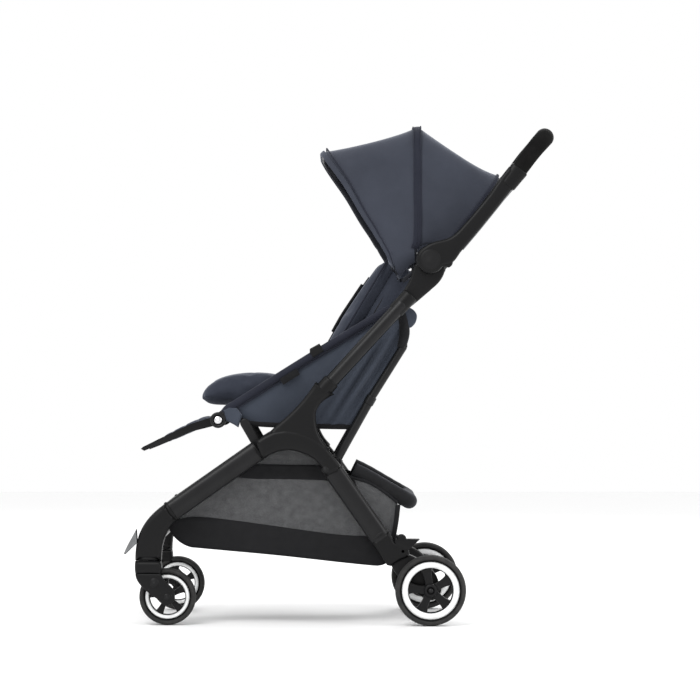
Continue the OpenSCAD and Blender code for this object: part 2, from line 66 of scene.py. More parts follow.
# %% Mesh helpers
def add_mesh(name, points, faces, smooth=True):
    """Puts points (n, 3) in metres and a list of faces into a new object at the origin."""
    mesh = bpy.data.meshes.new(name)
    mesh.from_pydata(np.asarray(points, float).tolist(), [], [list(map(int, f)) for f in faces])
    mesh.update()
    mesh.shade_smooth() if smooth else mesh.shade_flat()
    obj = bpy.data.objects.new(name, mesh)
    bpy.context.scene.collection.objects.link(obj)
    return obj


def grid_faces(rows, columns, close_rows=False, close_columns=False, base=0):
    """Quads of a rows by columns grid of points, wrapped round where a direction is closed."""
    i = np.arange(rows if close_rows else rows - 1)[:, None]
    j = np.arange(columns if close_columns else columns - 1)[None, :]
    i_next, j_next = (i + 1) % rows, (j + 1) % columns
    quads = np.stack([i * columns + j + 0 * j_next, i * columns + j_next,
                      i_next * columns + j_next, i_next * columns + j], -1)
    return (quads.reshape(-1, 4) + base).tolist()


def add_grid(name, points, close_rows=False, close_columns=False, caps=False):
    """A grid of points (rows, columns, 3) as a mesh; caps close the first and last rows."""
    rows, columns = points.shape[:2]
    faces = grid_faces(rows, columns, close_rows, close_columns)
    if caps:
        faces.append(list(range(columns))[::-1])
        faces.append([(rows - 1) * columns + k for k in range(columns)])
    return add_mesh(name, points.reshape(-1, 3), faces)


def join(name, objects):
    """Joins finished objects into one piece with a new name."""
    bpy.ops.object.select_all(action="DESELECT")
    for obj in objects:
        obj.select_set(True)
    bpy.context.view_layer.objects.active = objects[0]
    bpy.ops.object.join()
    objects[0].name = name
    return objects[0]


def outward(obj):
    """Makes every face point outwards."""
    bpy.ops.object.select_all(action="DESELECT")
    obj.select_set(True)
    bpy.context.view_layer.objects.active = obj
    bpy.ops.object.mode_set(mode="EDIT")
    bpy.ops.mesh.select_all(action="SELECT")
    bpy.ops.mesh.normals_make_consistent(inside=False)
    bpy.ops.object.mode_set(mode="OBJECT")
    return obj


def apply_all(obj):
    """Applies every modifier, so that the mesh is final."""
    bpy.ops.object.select_all(action="DESELECT")
    obj.select_set(True)
    bpy.context.view_layer.objects.active = obj
    bpy.ops.object.convert(target="MESH")
    return bpy.context.view_layer.objects.active


def modify(obj, kind, **settings):
    """Adds a modifier and sets its values."""
    modifier = obj.modifiers.new(kind.title(), kind)
    for key, value in settings.items():
        setattr(modifier, key, value)
    return modifier


def resample(points, count, closed=False):
    """The same polyline (n, k) with count points at even distances along it."""
    points = np.asarray(points, float)
    if closed:
        points = np.vstack([points, points[:1]])
    steps = np.r_[0, np.cumsum(np.linalg.norm(np.diff(points, axis=0), axis=1))]
    at = np.linspace(0, steps[-1], count, endpoint=not closed)
    return np.stack([np.interp(at, steps, points[:, k]) for k in range(points.shape[1])], 1)


def smooth_path(points, count, closed=False):
    """A Catmull-Rom curve through the points: each stretch is a cubic whose slope at a point is
    half the step between its neighbours. Then it is spaced evenly."""
    p = np.asarray(points, float)
    if closed:
        p = np.vstack([p[-1:], p, p[:2]])
    else:
        p = np.vstack([2 * p[0] - p[1], p, 2 * p[-1] - p[-2]])
    t = np.linspace(0, 1, 24, endpoint=False)[None, :, None]
    a, b, c, d = (p[k:len(p) - 3 + k, None, :] for k in range(4))
    curve = 0.5 * (2 * b + (c - a) * t + (2 * a - 5 * b + 4 * c - d) * t ** 2
                   + (3 * b - a - 3 * c + d) * t ** 3)
    curve = curve.reshape(-1, p.shape[1])
    if not closed:
        curve = np.vstack([curve, p[-2:-1]])
    return resample(curve, count, closed)


def sweep(name, path, half_w, half_t, side=(0, 1, 0), sides=20, power=2.0, closed=False, caps=True):
    """Carries an oval along a path. At each path point the oval lies across the tangent: half_t
    along `side`, half_w along tangent x side. power 2 is an ellipse, higher is boxier."""
    path = np.asarray(path, float)
    if closed:
        tangent = np.roll(path, -1, 0) - np.roll(path, 1, 0)
    else:
        tangent = np.gradient(path, axis=0)
    tangent /= np.linalg.norm(tangent, axis=1, keepdims=True)
    side = np.broadcast_to(np.asarray(side, float), path.shape)
    side = side - (side * tangent).sum(1, keepdims=True) * tangent
    side /= np.linalg.norm(side, axis=1, keepdims=True)
    across = np.cross(tangent, side)
    a = np.linspace(0, 2 * np.pi, sides, endpoint=False)
    c, s = np.cos(a), np.sin(a)
    c = np.sign(c) * np.abs(c) ** (2 / power)
    s = np.sign(s) * np.abs(s) ** (2 / power)
    half_w = np.broadcast_to(half_w, len(path))[:, None, None]
    half_t = np.broadcast_to(half_t, len(path))[:, None, None]
    points = (path[:, None] + half_w * c[None, :, None] * across[:, None]
              + half_t * s[None, :, None] * side[:, None])
    return add_grid(name, points, closed, True, caps and not closed)


def plate(name, outline, y_near, y_far, edge, rings=4):
    """A side-view outline (n, 2) in millimetres between two Y planes, with its rims rounded by a
    quarter circle of radius `edge`. Where the outline is narrower than the rounding, a point stops
    short of the centre of the largest circle that touches it from inside."""
    line = np.asarray(outline, float)
    area = 0.5 * np.sum(line[:, 0] * np.roll(line[:, 1], -1) - np.roll(line[:, 0], -1) * line[:, 1])
    if area < 0:
        line = line[::-1]
    step = np.roll(line, -1, 0) - np.roll(line, 1, 0)
    step /= np.linalg.norm(step, axis=1, keepdims=True) + 1e-12
    inward = np.stack([-step[:, 1], step[:, 0]], 1)
    apart = line[None] - line[:, None]
    facing = (apart * inward[:, None]).sum(2)
    reach = np.where(facing > 1e-6, (apart ** 2).sum(2) / (2 * np.maximum(facing, 1e-6)), 1e3).min(1)
    a = np.linspace(0, np.pi / 2, rings)
    lower = [(edge * (1 - np.sin(t)), y_near + edge * (1 - np.cos(t))) for t in a]
    upper = [(edge * (1 - np.sin(t)), y_far - edge * (1 - np.cos(t))) for t in a[::-1]]
    rows = []
    for inset, y in lower + upper:
        flat = line + inward * np.minimum(inset, 0.85 * reach)[:, None]
        rows.append(np.column_stack([flat[:, 0], np.full(len(line), y), flat[:, 1]]))
    obj = outward(add_grid(name, np.stack(rows) * MM, False, True, True))
    obj.data.set_sharp_from_angle(angle=math.radians(38))
    return obj


def revolve(name, profile, centre, sides=64, closed=True):
    """Turns a profile of (radius, y) pairs in millimetres round the Y axis through centre."""
    profile = np.asarray(profile, float)
    a = np.linspace(0, 2 * np.pi, sides, endpoint=False)[None, :]
    r, y = profile[:, :1], profile[:, 1:]
    points = np.stack([centre[0] + r * np.cos(a), centre[1] + y + 0 * a, centre[2] + r * np.sin(a)], -1)
    return outward(add_grid(name, points * MM, closed, True, not closed))


def at_y(line, y):
    """A side-view line (n, 2) as points (n, 3), all at one distance across."""
    return np.column_stack([line[:, 0], np.full(len(line), y), line[:, 1]])


def rod_line(x, z, low, high, side=1, count=4):
    """Points of a straight rod that runs across the stroller, from low to high in y."""
    return np.column_stack([np.full(count, x), side * np.linspace(low, high, count), np.full(count, z)])


def arc(centre, radius, start, end, count):
    """Points (n, 2) on a circle between two angles in degrees."""
    a = np.radians(np.linspace(start, end, count))
    return np.column_stack([centre[0] + radius * np.cos(a), centre[1] + radius * np.sin(a)])


def bezier(a, b, c, d, count=12):
    """A cubic curve from a to d that leaves towards b and arrives from c."""
    t = np.linspace(0, 1, count)[:, None]
    a, b, c, d = (np.asarray(p, float) for p in (a, b, c, d))
    return (1 - t) ** 3 * a + 3 * (1 - t) ** 2 * t * b + 3 * (1 - t) * t ** 2 * c + t ** 3 * d


def both_sides(make, name):
    """Calls make(side, name) for the left, at -Y, and the right, at +Y."""
    return [make(-1, name + "_left"), make(1, name + "_right")]


def finish_piece(obj, body, material, stands_for=()):
    """Gives a finished piece its body and its material, and hides the CAD nodes it stands for."""
    obj.data.materials.clear()
    obj.data.materials.append(material)
    if stands_for:
        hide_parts(*stands_for)
    if body:
        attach(obj, body)
    return obj

# %% [markdown]
# ## Finishes
# The stroller has few finishes: satin black paint and fine-grained moulded plastic on the frame, a
# slate-blue woven cloth on seat and canopy, stitched black leather on the grip, open mesh on the
# basket, foam rubber tyres and white wheel rings. Each is a Principled shader whose roughness,
# bump and colour come from noise or wave patterns in millimetre scale on Object coordinates.


# %% Shader helpers
def new_material(name, colour, roughness, metallic=0.0, coat=0.0, sheen=0.0, shine=0.5):
    """A Principled material; values that are the same all over go straight on its sockets."""
    material = bpy.data.materials.new(name)
    material.use_nodes = True
    tree = material.node_tree
    shader = tree.nodes["Principled BSDF"]
    shader.inputs["Base Color"].default_value = (*colour, 1)
    shader.inputs["Roughness"].default_value = roughness
    shader.inputs["Metallic"].default_value = metallic
    shader.inputs["Coat Weight"].default_value = coat
    shader.inputs["Sheen Weight"].default_value = sheen
    shader.inputs["Specular IOR Level"].default_value = shine
    return material, tree, shader


def link(tree, from_socket, to_socket):
    tree.links.new(from_socket, to_socket)


def coordinates(tree, scale=(1, 1, 1), turn=(0, 0, 0), source="Object"):
    """Object or UV coordinates, scaled and turned by a Mapping node."""
    where = tree.nodes.new("ShaderNodeTexCoord")
    mapping = tree.nodes.new("ShaderNodeMapping")
    mapping.inputs["Scale"].default_value = scale
    mapping.inputs["Rotation"].default_value = turn
    link(tree, where.outputs[source], mapping.inputs["Vector"])
    return mapping.outputs["Vector"]


def noise(tree, vector, scale, detail=3.0, rough=0.55):
    node = tree.nodes.new("ShaderNodeTexNoise")
    node.inputs["Scale"].default_value = scale
    node.inputs["Detail"].default_value = detail
    node.inputs["Roughness"].default_value = rough
    link(tree, vector, node.inputs["Vector"])
    return node.outputs["Fac"]


def wave(tree, vector, scale, axis="X", distortion=0.0):
    node = tree.nodes.new("ShaderNodeTexWave")
    node.bands_direction = axis
    node.inputs["Scale"].default_value = scale
    node.inputs["Distortion"].default_value = distortion
    node.inputs["Detail"].default_value = 1.0
    link(tree, vector, node.inputs["Vector"])
    return node.outputs["Fac"]


def ramp(tree, value, stops):
    """A colour ramp; stops are (position, (r, g, b))."""
    node = tree.nodes.new("ShaderNodeValToRGB")
    elements = node.color_ramp.elements
    while len(elements) < len(stops):
        elements.new(0.5)
    for element, (position, colour) in zip(elements, stops):
        element.position = position
        element.color = (*colour, 1)
    link(tree, value, node.inputs["Fac"])
    return node.outputs["Color"]


def span(tree, value, low, high):
    """Maps 0..1 to low..high."""
    node = tree.nodes.new("ShaderNodeMapRange")
    node.inputs["To Min"].default_value = low
    node.inputs["To Max"].default_value = high
    link(tree, value, node.inputs["Value"])
    return node.outputs["Result"]


def maths(tree, kind, a, b):
    node = tree.nodes.new("ShaderNodeMath")
    node.operation = kind
    for socket, value in zip(node.inputs, (a, b)):
        if isinstance(value, (int, float)):
            socket.default_value = value
        else:
            link(tree, value, socket)
    return node.outputs["Value"]


def bump(tree, shader, height, distance, strength=1.0):
    node = tree.nodes.new("ShaderNodeBump")
    node.inputs["Distance"].default_value = distance
    node.inputs["Strength"].default_value = strength
    link(tree, height, node.inputs["Height"])
    link(tree, node.outputs["Normal"], shader.inputs["Normal"])


# %% [markdown]
# Painted tube and moulded plastic look alike from afar. Up close the paint has a long, low orange
# peel and a thin coat, and the plastic a fine spark-eroded grain and edges that shine with handling.


# %% Hard finishes
def make_paint(name, colour=(0.0045, 0.0045, 0.005), roughness=0.32):
    """Satin black paint: soft orange peel in the bump, slow drift in roughness."""
    material, tree, shader = new_material(name, colour, roughness, metallic=0.0, coat=0.06, shine=0.2)
    shader.inputs["Coat Roughness"].default_value = 0.28
    at = coordinates(tree)
    link(tree, span(tree, noise(tree, at, 14), roughness - 0.06, roughness + 0.08),
         shader.inputs["Roughness"])
    link(tree, ramp(tree, noise(tree, at, 30), [(0.3, colour), (0.8, tuple(1.5 * c for c in colour))]),
         shader.inputs["Base Color"])
    bump(tree, shader, noise(tree, at, 900, 2), 0.00004, 0.6)
    return material


def make_moulding(name, colour=(0.004, 0.004, 0.0043), roughness=0.38):
    """Moulded plastic: fine grain at 0.6 mm, cloudy roughness, slightly paler worn edges."""
    material, tree, shader = new_material(name, colour, roughness, shine=0.16)
    at = coordinates(tree)
    edge = tree.nodes.new("ShaderNodeNewGeometry").outputs["Pointiness"]
    worn = ramp(tree, edge, [(0.5, colour), (0.62, tuple(2.2 * c for c in colour))])
    link(tree, worn, shader.inputs["Base Color"])
    link(tree, span(tree, noise(tree, at, 40), roughness - 0.07, roughness + 0.09),
         shader.inputs["Roughness"])
    bump(tree, shader, noise(tree, at, 1700, 2), 0.00007, 0.8)
    return material


def make_rubber(name):
    """Foam rubber tread: dark, matte, with pores and a dusty bloom."""
    colour = (0.016, 0.016, 0.016)
    material, tree, shader = new_material(name, colour, 0.75, shine=0.25)
    at = coordinates(tree)
    link(tree, ramp(tree, noise(tree, at, 60, 5), [(0.35, colour), (0.8, (0.035, 0.034, 0.033))]),
         shader.inputs["Base Color"])
    link(tree, span(tree, noise(tree, at, 250), 0.62, 0.88), shader.inputs["Roughness"])
    bump(tree, shader, noise(tree, at, 1400, 3), 0.00012, 0.7)
    return material


def make_ring(name):
    """The wheels' white rings: satin plastic with faint grime in the low places."""
    colour = (0.80, 0.81, 0.81)
    material, tree, shader = new_material(name, colour, 0.33, coat=0.2)
    at = coordinates(tree)
    link(tree, ramp(tree, noise(tree, at, 45, 5), [(0.25, (0.66, 0.665, 0.66)), (0.6, colour)]),
         shader.inputs["Base Color"])
    link(tree, span(tree, noise(tree, at, 120), 0.26, 0.42), shader.inputs["Roughness"])
    bump(tree, shader, noise(tree, at, 900), 0.00003, 0.5)
    return material


def make_metal(name, colour=(0.5, 0.5, 0.51), roughness=0.3):
    """Turned and plated steel: fine rings of scratches in roughness."""
    material, tree, shader = new_material(name, colour, roughness, metallic=1.0)
    at = coordinates(tree, scale=(1, 8, 1))
    link(tree, span(tree, noise(tree, at, 700), roughness - 0.1, roughness + 0.15),
         shader.inputs["Roughness"])
    link(tree, ramp(tree, noise(tree, at, 90), [(0.3, tuple(0.8 * c for c in colour)), (0.7, colour)]),
         shader.inputs["Base Color"])
    bump(tree, shader, noise(tree, at, 2500), 0.00002, 0.4)
    return material


paint = make_paint("satin_black_paint")
moulding = make_moulding("grained_black_moulding")
bow_plastic = make_moulding("bow_plastic", (0.011, 0.012, 0.016), 0.4)
rubber = make_rubber("foam_rubber")
ring_white = make_ring("white_ring")
steel = make_metal("plated_steel")
button_metal = make_metal("button_silver", (0.75, 0.75, 0.76), 0.24)
bumper_metal = make_metal("bumper_grey", (0.22, 0.225, 0.23), 0.34)

# %% [markdown]
# The cloth is a tight plain weave of two close shades. Two crossed wave patterns make the warp and
# weft, a slow noise makes the melange, and a little sheen lights the fibres at grazing angles. The
# basket is an open net: the same crossed waves, cut through by transparency.


# %% Soft finishes
def weave_height(tree, at, threads):
    """Crossed ridges, `threads` per metre times 1 / 0.159; each thread is one wave."""
    warp = wave(tree, at, threads, "X")
    weft = wave(tree, at, threads, "Z")
    return maths(tree, "ADD", warp, weft)


def make_cloth(name, dark, light, threads=300.0, turn=(0, 0, 0), sheen=0.25):
    """Woven polyester: melange colour from noise, thread ridges as bump, soft sheen."""
    material, tree, shader = new_material(name, light, 0.8, sheen=sheen, shine=0.2)
    shader.inputs["Sheen Roughness"].default_value = 0.45
    shader.inputs["Sheen Tint"].default_value = (0.75, 0.8, 0.95, 1)
    at = coordinates(tree, turn=turn)
    height = weave_height(tree, at, threads)
    fibre = maths(tree, "MULTIPLY_ADD", noise(tree, at, 1500, 4), 0.6)
    fibre.node.inputs[2].default_value = 0.2
    drift = maths(tree, "ADD", maths(tree, "MULTIPLY", noise(tree, at, 9, 3), 0.5),
                  maths(tree, "MULTIPLY", fibre, 0.6))
    link(tree, ramp(tree, drift, [(0.3, dark), (0.75, light)]), shader.inputs["Base Color"])
    link(tree, span(tree, noise(tree, at, 60), 0.7, 0.92), shader.inputs["Roughness"])
    bump(tree, shader, height, 0.00012, 0.5)
    return material


def make_leather(name, colour=(0.003, 0.003, 0.0032)):
    """Stitched grip leather: pebbled grain from cells, softer shine on the high spots."""
    material, tree, shader = new_material(name, colour, 0.6, shine=0.08)
    at = coordinates(tree)
    cells = tree.nodes.new("ShaderNodeTexVoronoi")
    cells.inputs["Scale"].default_value = 700
    link(tree, at, cells.inputs["Vector"])
    grain = maths(tree, "ADD", cells.outputs["Distance"], noise(tree, at, 400, 4))
    link(tree, ramp(tree, noise(tree, at, 35, 4), [(0.3, colour), (0.8, (0.007, 0.0068, 0.0066))]),
         shader.inputs["Base Color"])
    link(tree, span(tree, grain, 0.55, 0.72), shader.inputs["Roughness"])
    bump(tree, shader, grain, 0.00018, 0.7)
    return material


def make_net(name, hole=1.7):
    """Warp-knitted net: strands where either crossed wave is high, holes elsewhere. The pattern
    runs on the piece's own UV map, in metres, so it follows the cloth."""
    colour = (0.035, 0.036, 0.038)
    material, tree, shader = new_material(name, colour, 0.7, sheen=0.2)
    at = coordinates(tree, source="UV")
    threads = 0.444 / (hole * MM)
    across = wave(tree, at, threads, "DIAGONAL")
    turned = coordinates(tree, turn=(0, 0, math.pi / 2), source="UV")
    along = wave(tree, turned, threads, "DIAGONAL")
    strand = maths(tree, "MAXIMUM", across, along)
    solid = maths(tree, "GREATER_THAN", strand, 0.5)
    cover = span(tree, solid, 0.76, 0.98)
    link(tree, cover, shader.inputs["Alpha"])
    link(tree, ramp(tree, noise(tree, at, 80), [(0.3, colour), (0.8, (0.06, 0.061, 0.064))]),
         shader.inputs["Base Color"])
    bump(tree, shader, strand, 0.0004, 0.6)
    return material


slate = make_cloth("slate_cloth", (0.019, 0.0215, 0.030), (0.038, 0.043, 0.059))
slate_seat = make_cloth("slate_seat_cloth", (0.015, 0.018, 0.027), (0.032, 0.037, 0.053), 260.0)
navy_edge = make_cloth("navy_piping", (0.007, 0.008, 0.014), (0.016, 0.018, 0.029), 420.0, sheen=0.1)
dark_cloth = make_cloth("black_cloth", (0.0035, 0.0035, 0.004), (0.008, 0.008, 0.009), 280.0, sheen=0.1)
webbing = make_cloth("webbing", (0.003, 0.003, 0.0035), (0.008, 0.008, 0.009), 200.0, sheen=0.05)
leather = make_leather("grip_leather", (0.0018, 0.0018, 0.0019))
net = make_net("basket_net")

# %% [markdown]
# ## Wheels
# Each wheel is five pieces that turn together: a rounded foam tyre, a black rim, a white ring set
# into it, five flared spokes and a cap. The spoke is one outline repeated by turning it 72 degrees.


# %% Wheels
def wheel(name, body, centre, tyre, ring, width, first_angle, tyre_node, rim_node):
    """tyre, ring = (outer, inner) radii in mm; width is across the tyre."""
    r_out, r_in = tyre
    half = width / 2
    a = np.linspace(0, np.pi, 21)
    crown = np.column_stack([r_in + 4 + (r_out - r_in - 4) * np.sin(a) ** 0.62,
                             -half * np.cos(a)])
    inner = np.array([[r_in, half - 3], [r_in, -half + 3]])
    rubber_part = revolve(name + "_tread", np.vstack([crown, inner]), centre, 96)
    finish_piece(rubber_part, body, rubber, [tyre_node])
    # the black rim holds the tyre and reaches in under the white ring
    o, i = ring
    t = half - 4
    lip = [(r_in + 0.4, t - 1), (r_in + 0.6, t + 1.6), (r_in - 1, t + 2.8), (o + 1, t + 2.4),
           (o, t), (i, t - 2), (i - 1.5, t - 5)]
    profile = lip + [(r, -y) for r, y in lip[::-1]]
    rim = revolve(name + "_rim", profile, centre, 96)
    finish_piece(rim, body, moulding, [rim_node])
    # white ring, domed, one on each face
    rings = []
    for face in (1, -1):
        b = np.linspace(0, np.pi, 9)
        dome = np.column_stack([(o + i) / 2 - (o - i) / 2 * np.cos(b), face * (t - 3 + 4.6 * np.sin(b))])
        rings.append(revolve(name + "_white", np.vstack([dome, [[o, face * (t - 5)], [i, face * (t - 5)]]]),
                             centre, 96))
    ring_piece = join(name + "_white_ring", rings)
    finish_piece(ring_piece, body, ring_white)
    # spokes: narrow at the cap, flared into the ring
    parts = []
    hub = 9.5 if r_out < 60 else 13.5
    for k in range(5):
        angle = math.radians(first_angle + 72 * k)
        r = np.linspace(hub - 2.5, i + 0.8, 9)
        f = (r - r[0]) / (r[-1] - r[0])
        half_w = (3.9 + 5.2 * f ** 2.2 + 1.8 * (1 - f) ** 2) * (1.0 if r_out < 60 else 1.45)
        line = np.vstack([np.column_stack([r, half_w]), np.column_stack([r[::-1], -half_w[::-1]])])
        turn = np.array([[math.cos(angle), math.sin(angle)], [-math.sin(angle), math.cos(angle)]])
        parts.append(plate(name + "_spoke", line @ turn + np.array([centre[0], centre[2]]),
                           centre[1] - t + 4, centre[1] + t - 4, 1.4, 3))
    cap_r = hub
    profile = [(0, t - 2.6), (cap_r * 0.40, t - 2.6), (cap_r * 0.46, t + 0.2), (cap_r * 0.62, t + 1.6),
               (cap_r * 0.86, t + 0.9), (cap_r, t - 1.6), (cap_r, -t + 1.6), (cap_r * 0.86, -t - 0.9),
               (cap_r * 0.62, -t - 1.6), (cap_r * 0.46, -t - 0.2), (cap_r * 0.40, -t + 2.6), (0, -t + 2.6)]
    parts.append(revolve(name + "_cap", profile, centre, 48, False))
    spokes = join(name + "_spokes", parts)
    finish_piece(spokes, body, moulding)
    return [rubber_part, rim, ring_piece, spokes]


for side_sign, side_name in ((-1, "left"), (1, "right")):
    wheel("front_wheel_" + side_name, "front_wheel_" + side_name,
          (FRONT_AXLE[0], side_sign * 183, FRONT_AXLE[1]),
          (57, 46.5), (45.2, 36.8), 27, 99, "front_tyre_" + side_name, "front_rim_" + side_name)
    wheel("rear_wheel_" + side_name, "rear_wheel_" + side_name, (REAR_AXLE[0], side_sign * 208, REAR_AXLE[1]),
          (71, 60.2), (59, 45.2), 31, 102, "rear_tyre_" + side_name, "rear_rim_" + side_name)

# %% [markdown]
# ## Lower frame
# The side castings are a thick arch from the front leg to the rear leg with a slimmer stem rising
# from it. Outlines are drawn once in the side view and used for both sides.


# %% Castings, legs and feet
def chain(*parts):
    """Stacks side-view curves into one outline, dropping near-repeats at the joints."""
    line = np.vstack(parts)
    keep = np.linalg.norm(line - np.roll(line, 1, 0), axis=1) > 0.4
    return line[keep]


def levels(s, near, far):
    """Distances from the middle plane as low and high Y on side s."""
    return (-far, -near) if s < 0 else (near, far)


def bar(name, path, half_w, half_t, y, s, round_end=4, **kw):
    """An oval bar along a side-view polyline, with softly rounded ends."""
    line = resample(np.asarray(path, float), 48)
    points = np.column_stack([line[:, 0], np.full(len(line), s * y), line[:, 1]]) * MM
    along = np.r_[0, np.cumsum(np.linalg.norm(np.diff(line, axis=0), axis=1))]
    end = np.minimum(along, along[-1] - along)
    soft = np.sqrt(np.clip(1 - (1 - np.clip(end / max(round_end, 0.1), 0, 1)) ** 2, 0.02, 1))
    grow = np.minimum(1, 0.86 + 0.14 * soft)
    return sweep(name, points, half_w * MM * grow, half_t * MM * grow, sides=28, **kw)


leg_dir = np.array([0.820, 0.572])
arch_upper = [(-150, 379), (-132, 388), (-108, 391.5), (-84, 388.5), (-60, 380), (-40, 368), (-24, 354),
              (-10, 337), (3.2, 320)]
arch_lower = [(-29, 303.5), (-36, 318), (-48, 331), (-64, 341), (-82, 347.5), (-100, 351), (-120, 348.5),
              (-138, 341), (-153.5, 331)]
arch_outline = chain([(-168, 368)], arch_upper, [(4.2, 316.5), (-5, 306), (-20, 300), (-28, 300.5)],
                     arch_lower)
stem_outline = chain(bezier((-46.5, 487.5), (-66, 455), (-94, 425), (-128, 398), 16),
                     [(-140, 386), (-120, 365), (-80, 358), (-46, 350), (-24, 345)],
                     bezier((-18, 352), (-40, 372), (-49, 398), (-46, 428), 10),
                     bezier((-44, 432), (-38, 447), (-24, 455), (-9, 462), 8)[1:])


def side_frame(s, name):
    arch = plate(name, resample(arch_outline, 150, True), *levels(s, 165, 201), 8, 5)
    stem = plate(name + "_stem", resample(stem_outline, 110, True), *levels(s, 167.2, 198.8), 8, 5)
    parts = [arch, stem]
    # groove rings round both ends and the head of the fold pin
    for at, d, half in (((-164, 348), leg_dir, 21.4), ((-166.5, 346.2), leg_dir, 21.0)):
        parts.append(bar(name + "_lip", [at, at + d * 3.2], half, 14.5, 183, s, 1.2))
    for y in (165.2, 200.8):
        parts.append(revolve(name + "_boss", [(0, 1.2), (4.6, 1.2), (6.4, 0.2), (7.2, -1.4), (0, -1.4)]
                             if (y > 183) == (s > 0) else
                             [(0, -1.2), (4.6, -1.2), (6.4, -0.2), (7.2, 1.4), (0, 1.4)],
                             (FOLD_PIN[0], s * y, FOLD_PIN[1]), 32, False))
    return finish_piece(join(name, parts), "chassis", moulding, [name])


both_sides(side_frame, "side_frame")


def stem_collar(s, name):
    """The ring that guides the main tube into the stem."""
    a, b = np.array([-33.5, 468.5]), np.array([-14.5, 489.2])
    ring = bar(name, [a, b], 17.0, 16.8, 183, s, 3.0, power=2.2)
    return finish_piece(ring, "chassis", moulding)


both_sides(stem_collar, "stem_collar")


def front_leg(s, name):
    leg = bar(name, [(-345, 221.4), (-160, 350.8)], 20.2, 13.2, 183, s, 3, power=2.5)
    return finish_piece(leg, "chassis", paint, [name])


both_sides(front_leg, "front_leg")


def front_foot(s, name):
    nose = bezier((-348.6, 243.6), (-386, 216), (-409, 188), (-408.4, 129.4), 22)
    heel = bezier((-355.4, 129.4), (-356, 160), (-348, 190), (-325.6, 210.6), 16)
    body = plate(name, resample(chain(nose, heel), 120, True), *levels(s, 166.6, 199.4), 11, 6)
    lip = bar(name + "_lip", [(-339.6, 225.2), (-333.8, 229.3)], 22, 16.2, 183, s, 2)
    seam = revolve_z(name + "_seam", [(25.6, 129.6), (26.6, 131.0), (26.6, 134.5), (25.4, 136)],
                     (-382, s * 183), 48, (1.0, 0.62))
    return finish_piece(join(name, [body, lip, seam]), "chassis", moulding, [name])


def revolve_z(name, profile, centre, sides=48, squeeze=(1, 1)):
    """Turns a profile of (radius, z) pairs in millimetres round the vertical through centre."""
    profile = np.asarray(profile, float)
    a = np.linspace(0, 2 * np.pi, sides, endpoint=False)[None, :]
    r, z = profile[:, :1], profile[:, 1:]
    points = np.stack([centre[0] + r * np.cos(a) * squeeze[0], centre[1] + r * np.sin(a) * squeeze[1],
                       z + 0 * a], -1)
    return outward(add_grid(name, points * MM, False, True, True))


both_sides(front_foot, "front_foot")


def bumper(s, name):
    """Kick plate on the nose of the foot, a thin silvery wedge."""
    line = chain(bezier((-406, 192), (-413, 178), (-425, 160), (-431, 143), 14),
                 bezier((-428, 141.5), (-419, 150), (-412, 158), (-404, 164), 10))
    return plate(name, resample(line, 60, True), *levels(s, 170, 196), 2.0, 4)


finish_piece(join("foot_bumpers", [bumper(-1, "bumper_a"), bumper(1, "bumper_b")]), "chassis",
             bumper_metal, ["foot_bumpers"])

rod = sweep("front_crossbar", rod_line(-366, 172, -168, 168, count=24) * MM, 9 * MM, 9 * MM, (0, 0, 1), 28)
finish_piece(rod, "chassis", paint, ["front_crossbar"])

# %% [markdown]
# The rear legs hang from the fold pins. Below them the housings carry the axle, and on the left a
# short pedal works the brake. The casters have a deep head, one outer arm and a shallow domed knob.


# %% Rear legs, housings, pedal and casters
def rear_leg(s, name):
    seam, low = np.array([-12.4, 309.5]), np.array([86.4, 169.0])
    leg = bar(name, [seam, low], 20.1, 13.2, 183, s, 2.5, power=2.5)
    tongue = plate(name + "_tongue", chain(arc((-27.15, 311.36), 8.8, 20, 230, 14),
                                           [(-24, 296), (-4, 306)]), *levels(s, 177.2, 188.8), 1, 2)
    lip = bar(name + "_lip", [(-11.2, 307.8), (-8.6, 304.1)], 21.3, 14.4, 183, s, 1.2)
    end = bar(name + "_end", [(77, 182.3), (80.5, 177.3)], 21.4, 14.4, 183, s, 1.4)
    piece = join(name, [leg, tongue, lip, end])
    return finish_piece(piece, "rear_legs", paint, [name])


both_sides(rear_leg, "rear_leg")

housings = []
for s in (-1, 1):
    block = chain([(66.5, 164.5), (99.6, 187.5), (106, 176)],
                  bezier((111, 166), (116, 161), (128, 160), (139, 153), 8),
                  [(141, 146), (141, 138)], bezier((134, 134), (120, 130), (112, 123), (104, 118), 6),
                  bezier((96, 120), (86, 138), (76, 152), (66.5, 164.5), 8)[:-1])
    neck = chain(bezier((104, 120), (118, 92), (138, 70), (163, 58), 12), arc((183, 71), 22.3, 222, 395, 18),
                 bezier((196, 98), (180, 122), (160, 134), (138, 142), 10), [(120, 138), (110, 130)])
    housings.append(plate("block", resample(block, 110, True), *levels(s, 159.2, 196), 6, 5))
    housings.append(plate("neck", resample(neck, 120, True), *levels(s, 159.2, 188.6), 5, 5))
housing_piece = join("rear_housings", housings)
# the slot the pedal swings in is cut from the left block
cutter = plate("cutter", [(116, 150), (124, 139.5), (134, 139.5), (139, 150), (162, 172), (112, 172)],
               *levels(-1, 161.9, 194.1), 0.1, 2)
modify(housing_piece, "BOOLEAN", object=cutter, operation="DIFFERENCE", solver="EXACT")
apply_all(housing_piece)
bpy.data.objects.remove(cutter)
finish_piece(housing_piece, "rear_legs", moulding, ["rear_housings"])

pedal_line = smooth_path([(121, 148), (122, 141.5), (128, 139.8), (134.4, 141.5), (135.6, 149), (134, 160),
                          (135, 168), (134, 177), (126, 181.4), (118, 178), (116.2, 170.5), (119, 160)], 90,
                         True)
pedal = plate("brake_pedal", pedal_line, *levels(-1, 162.6, 193.4), 3, 5)
finish_piece(pedal, "brake", moulding, ["brake_pedal"])

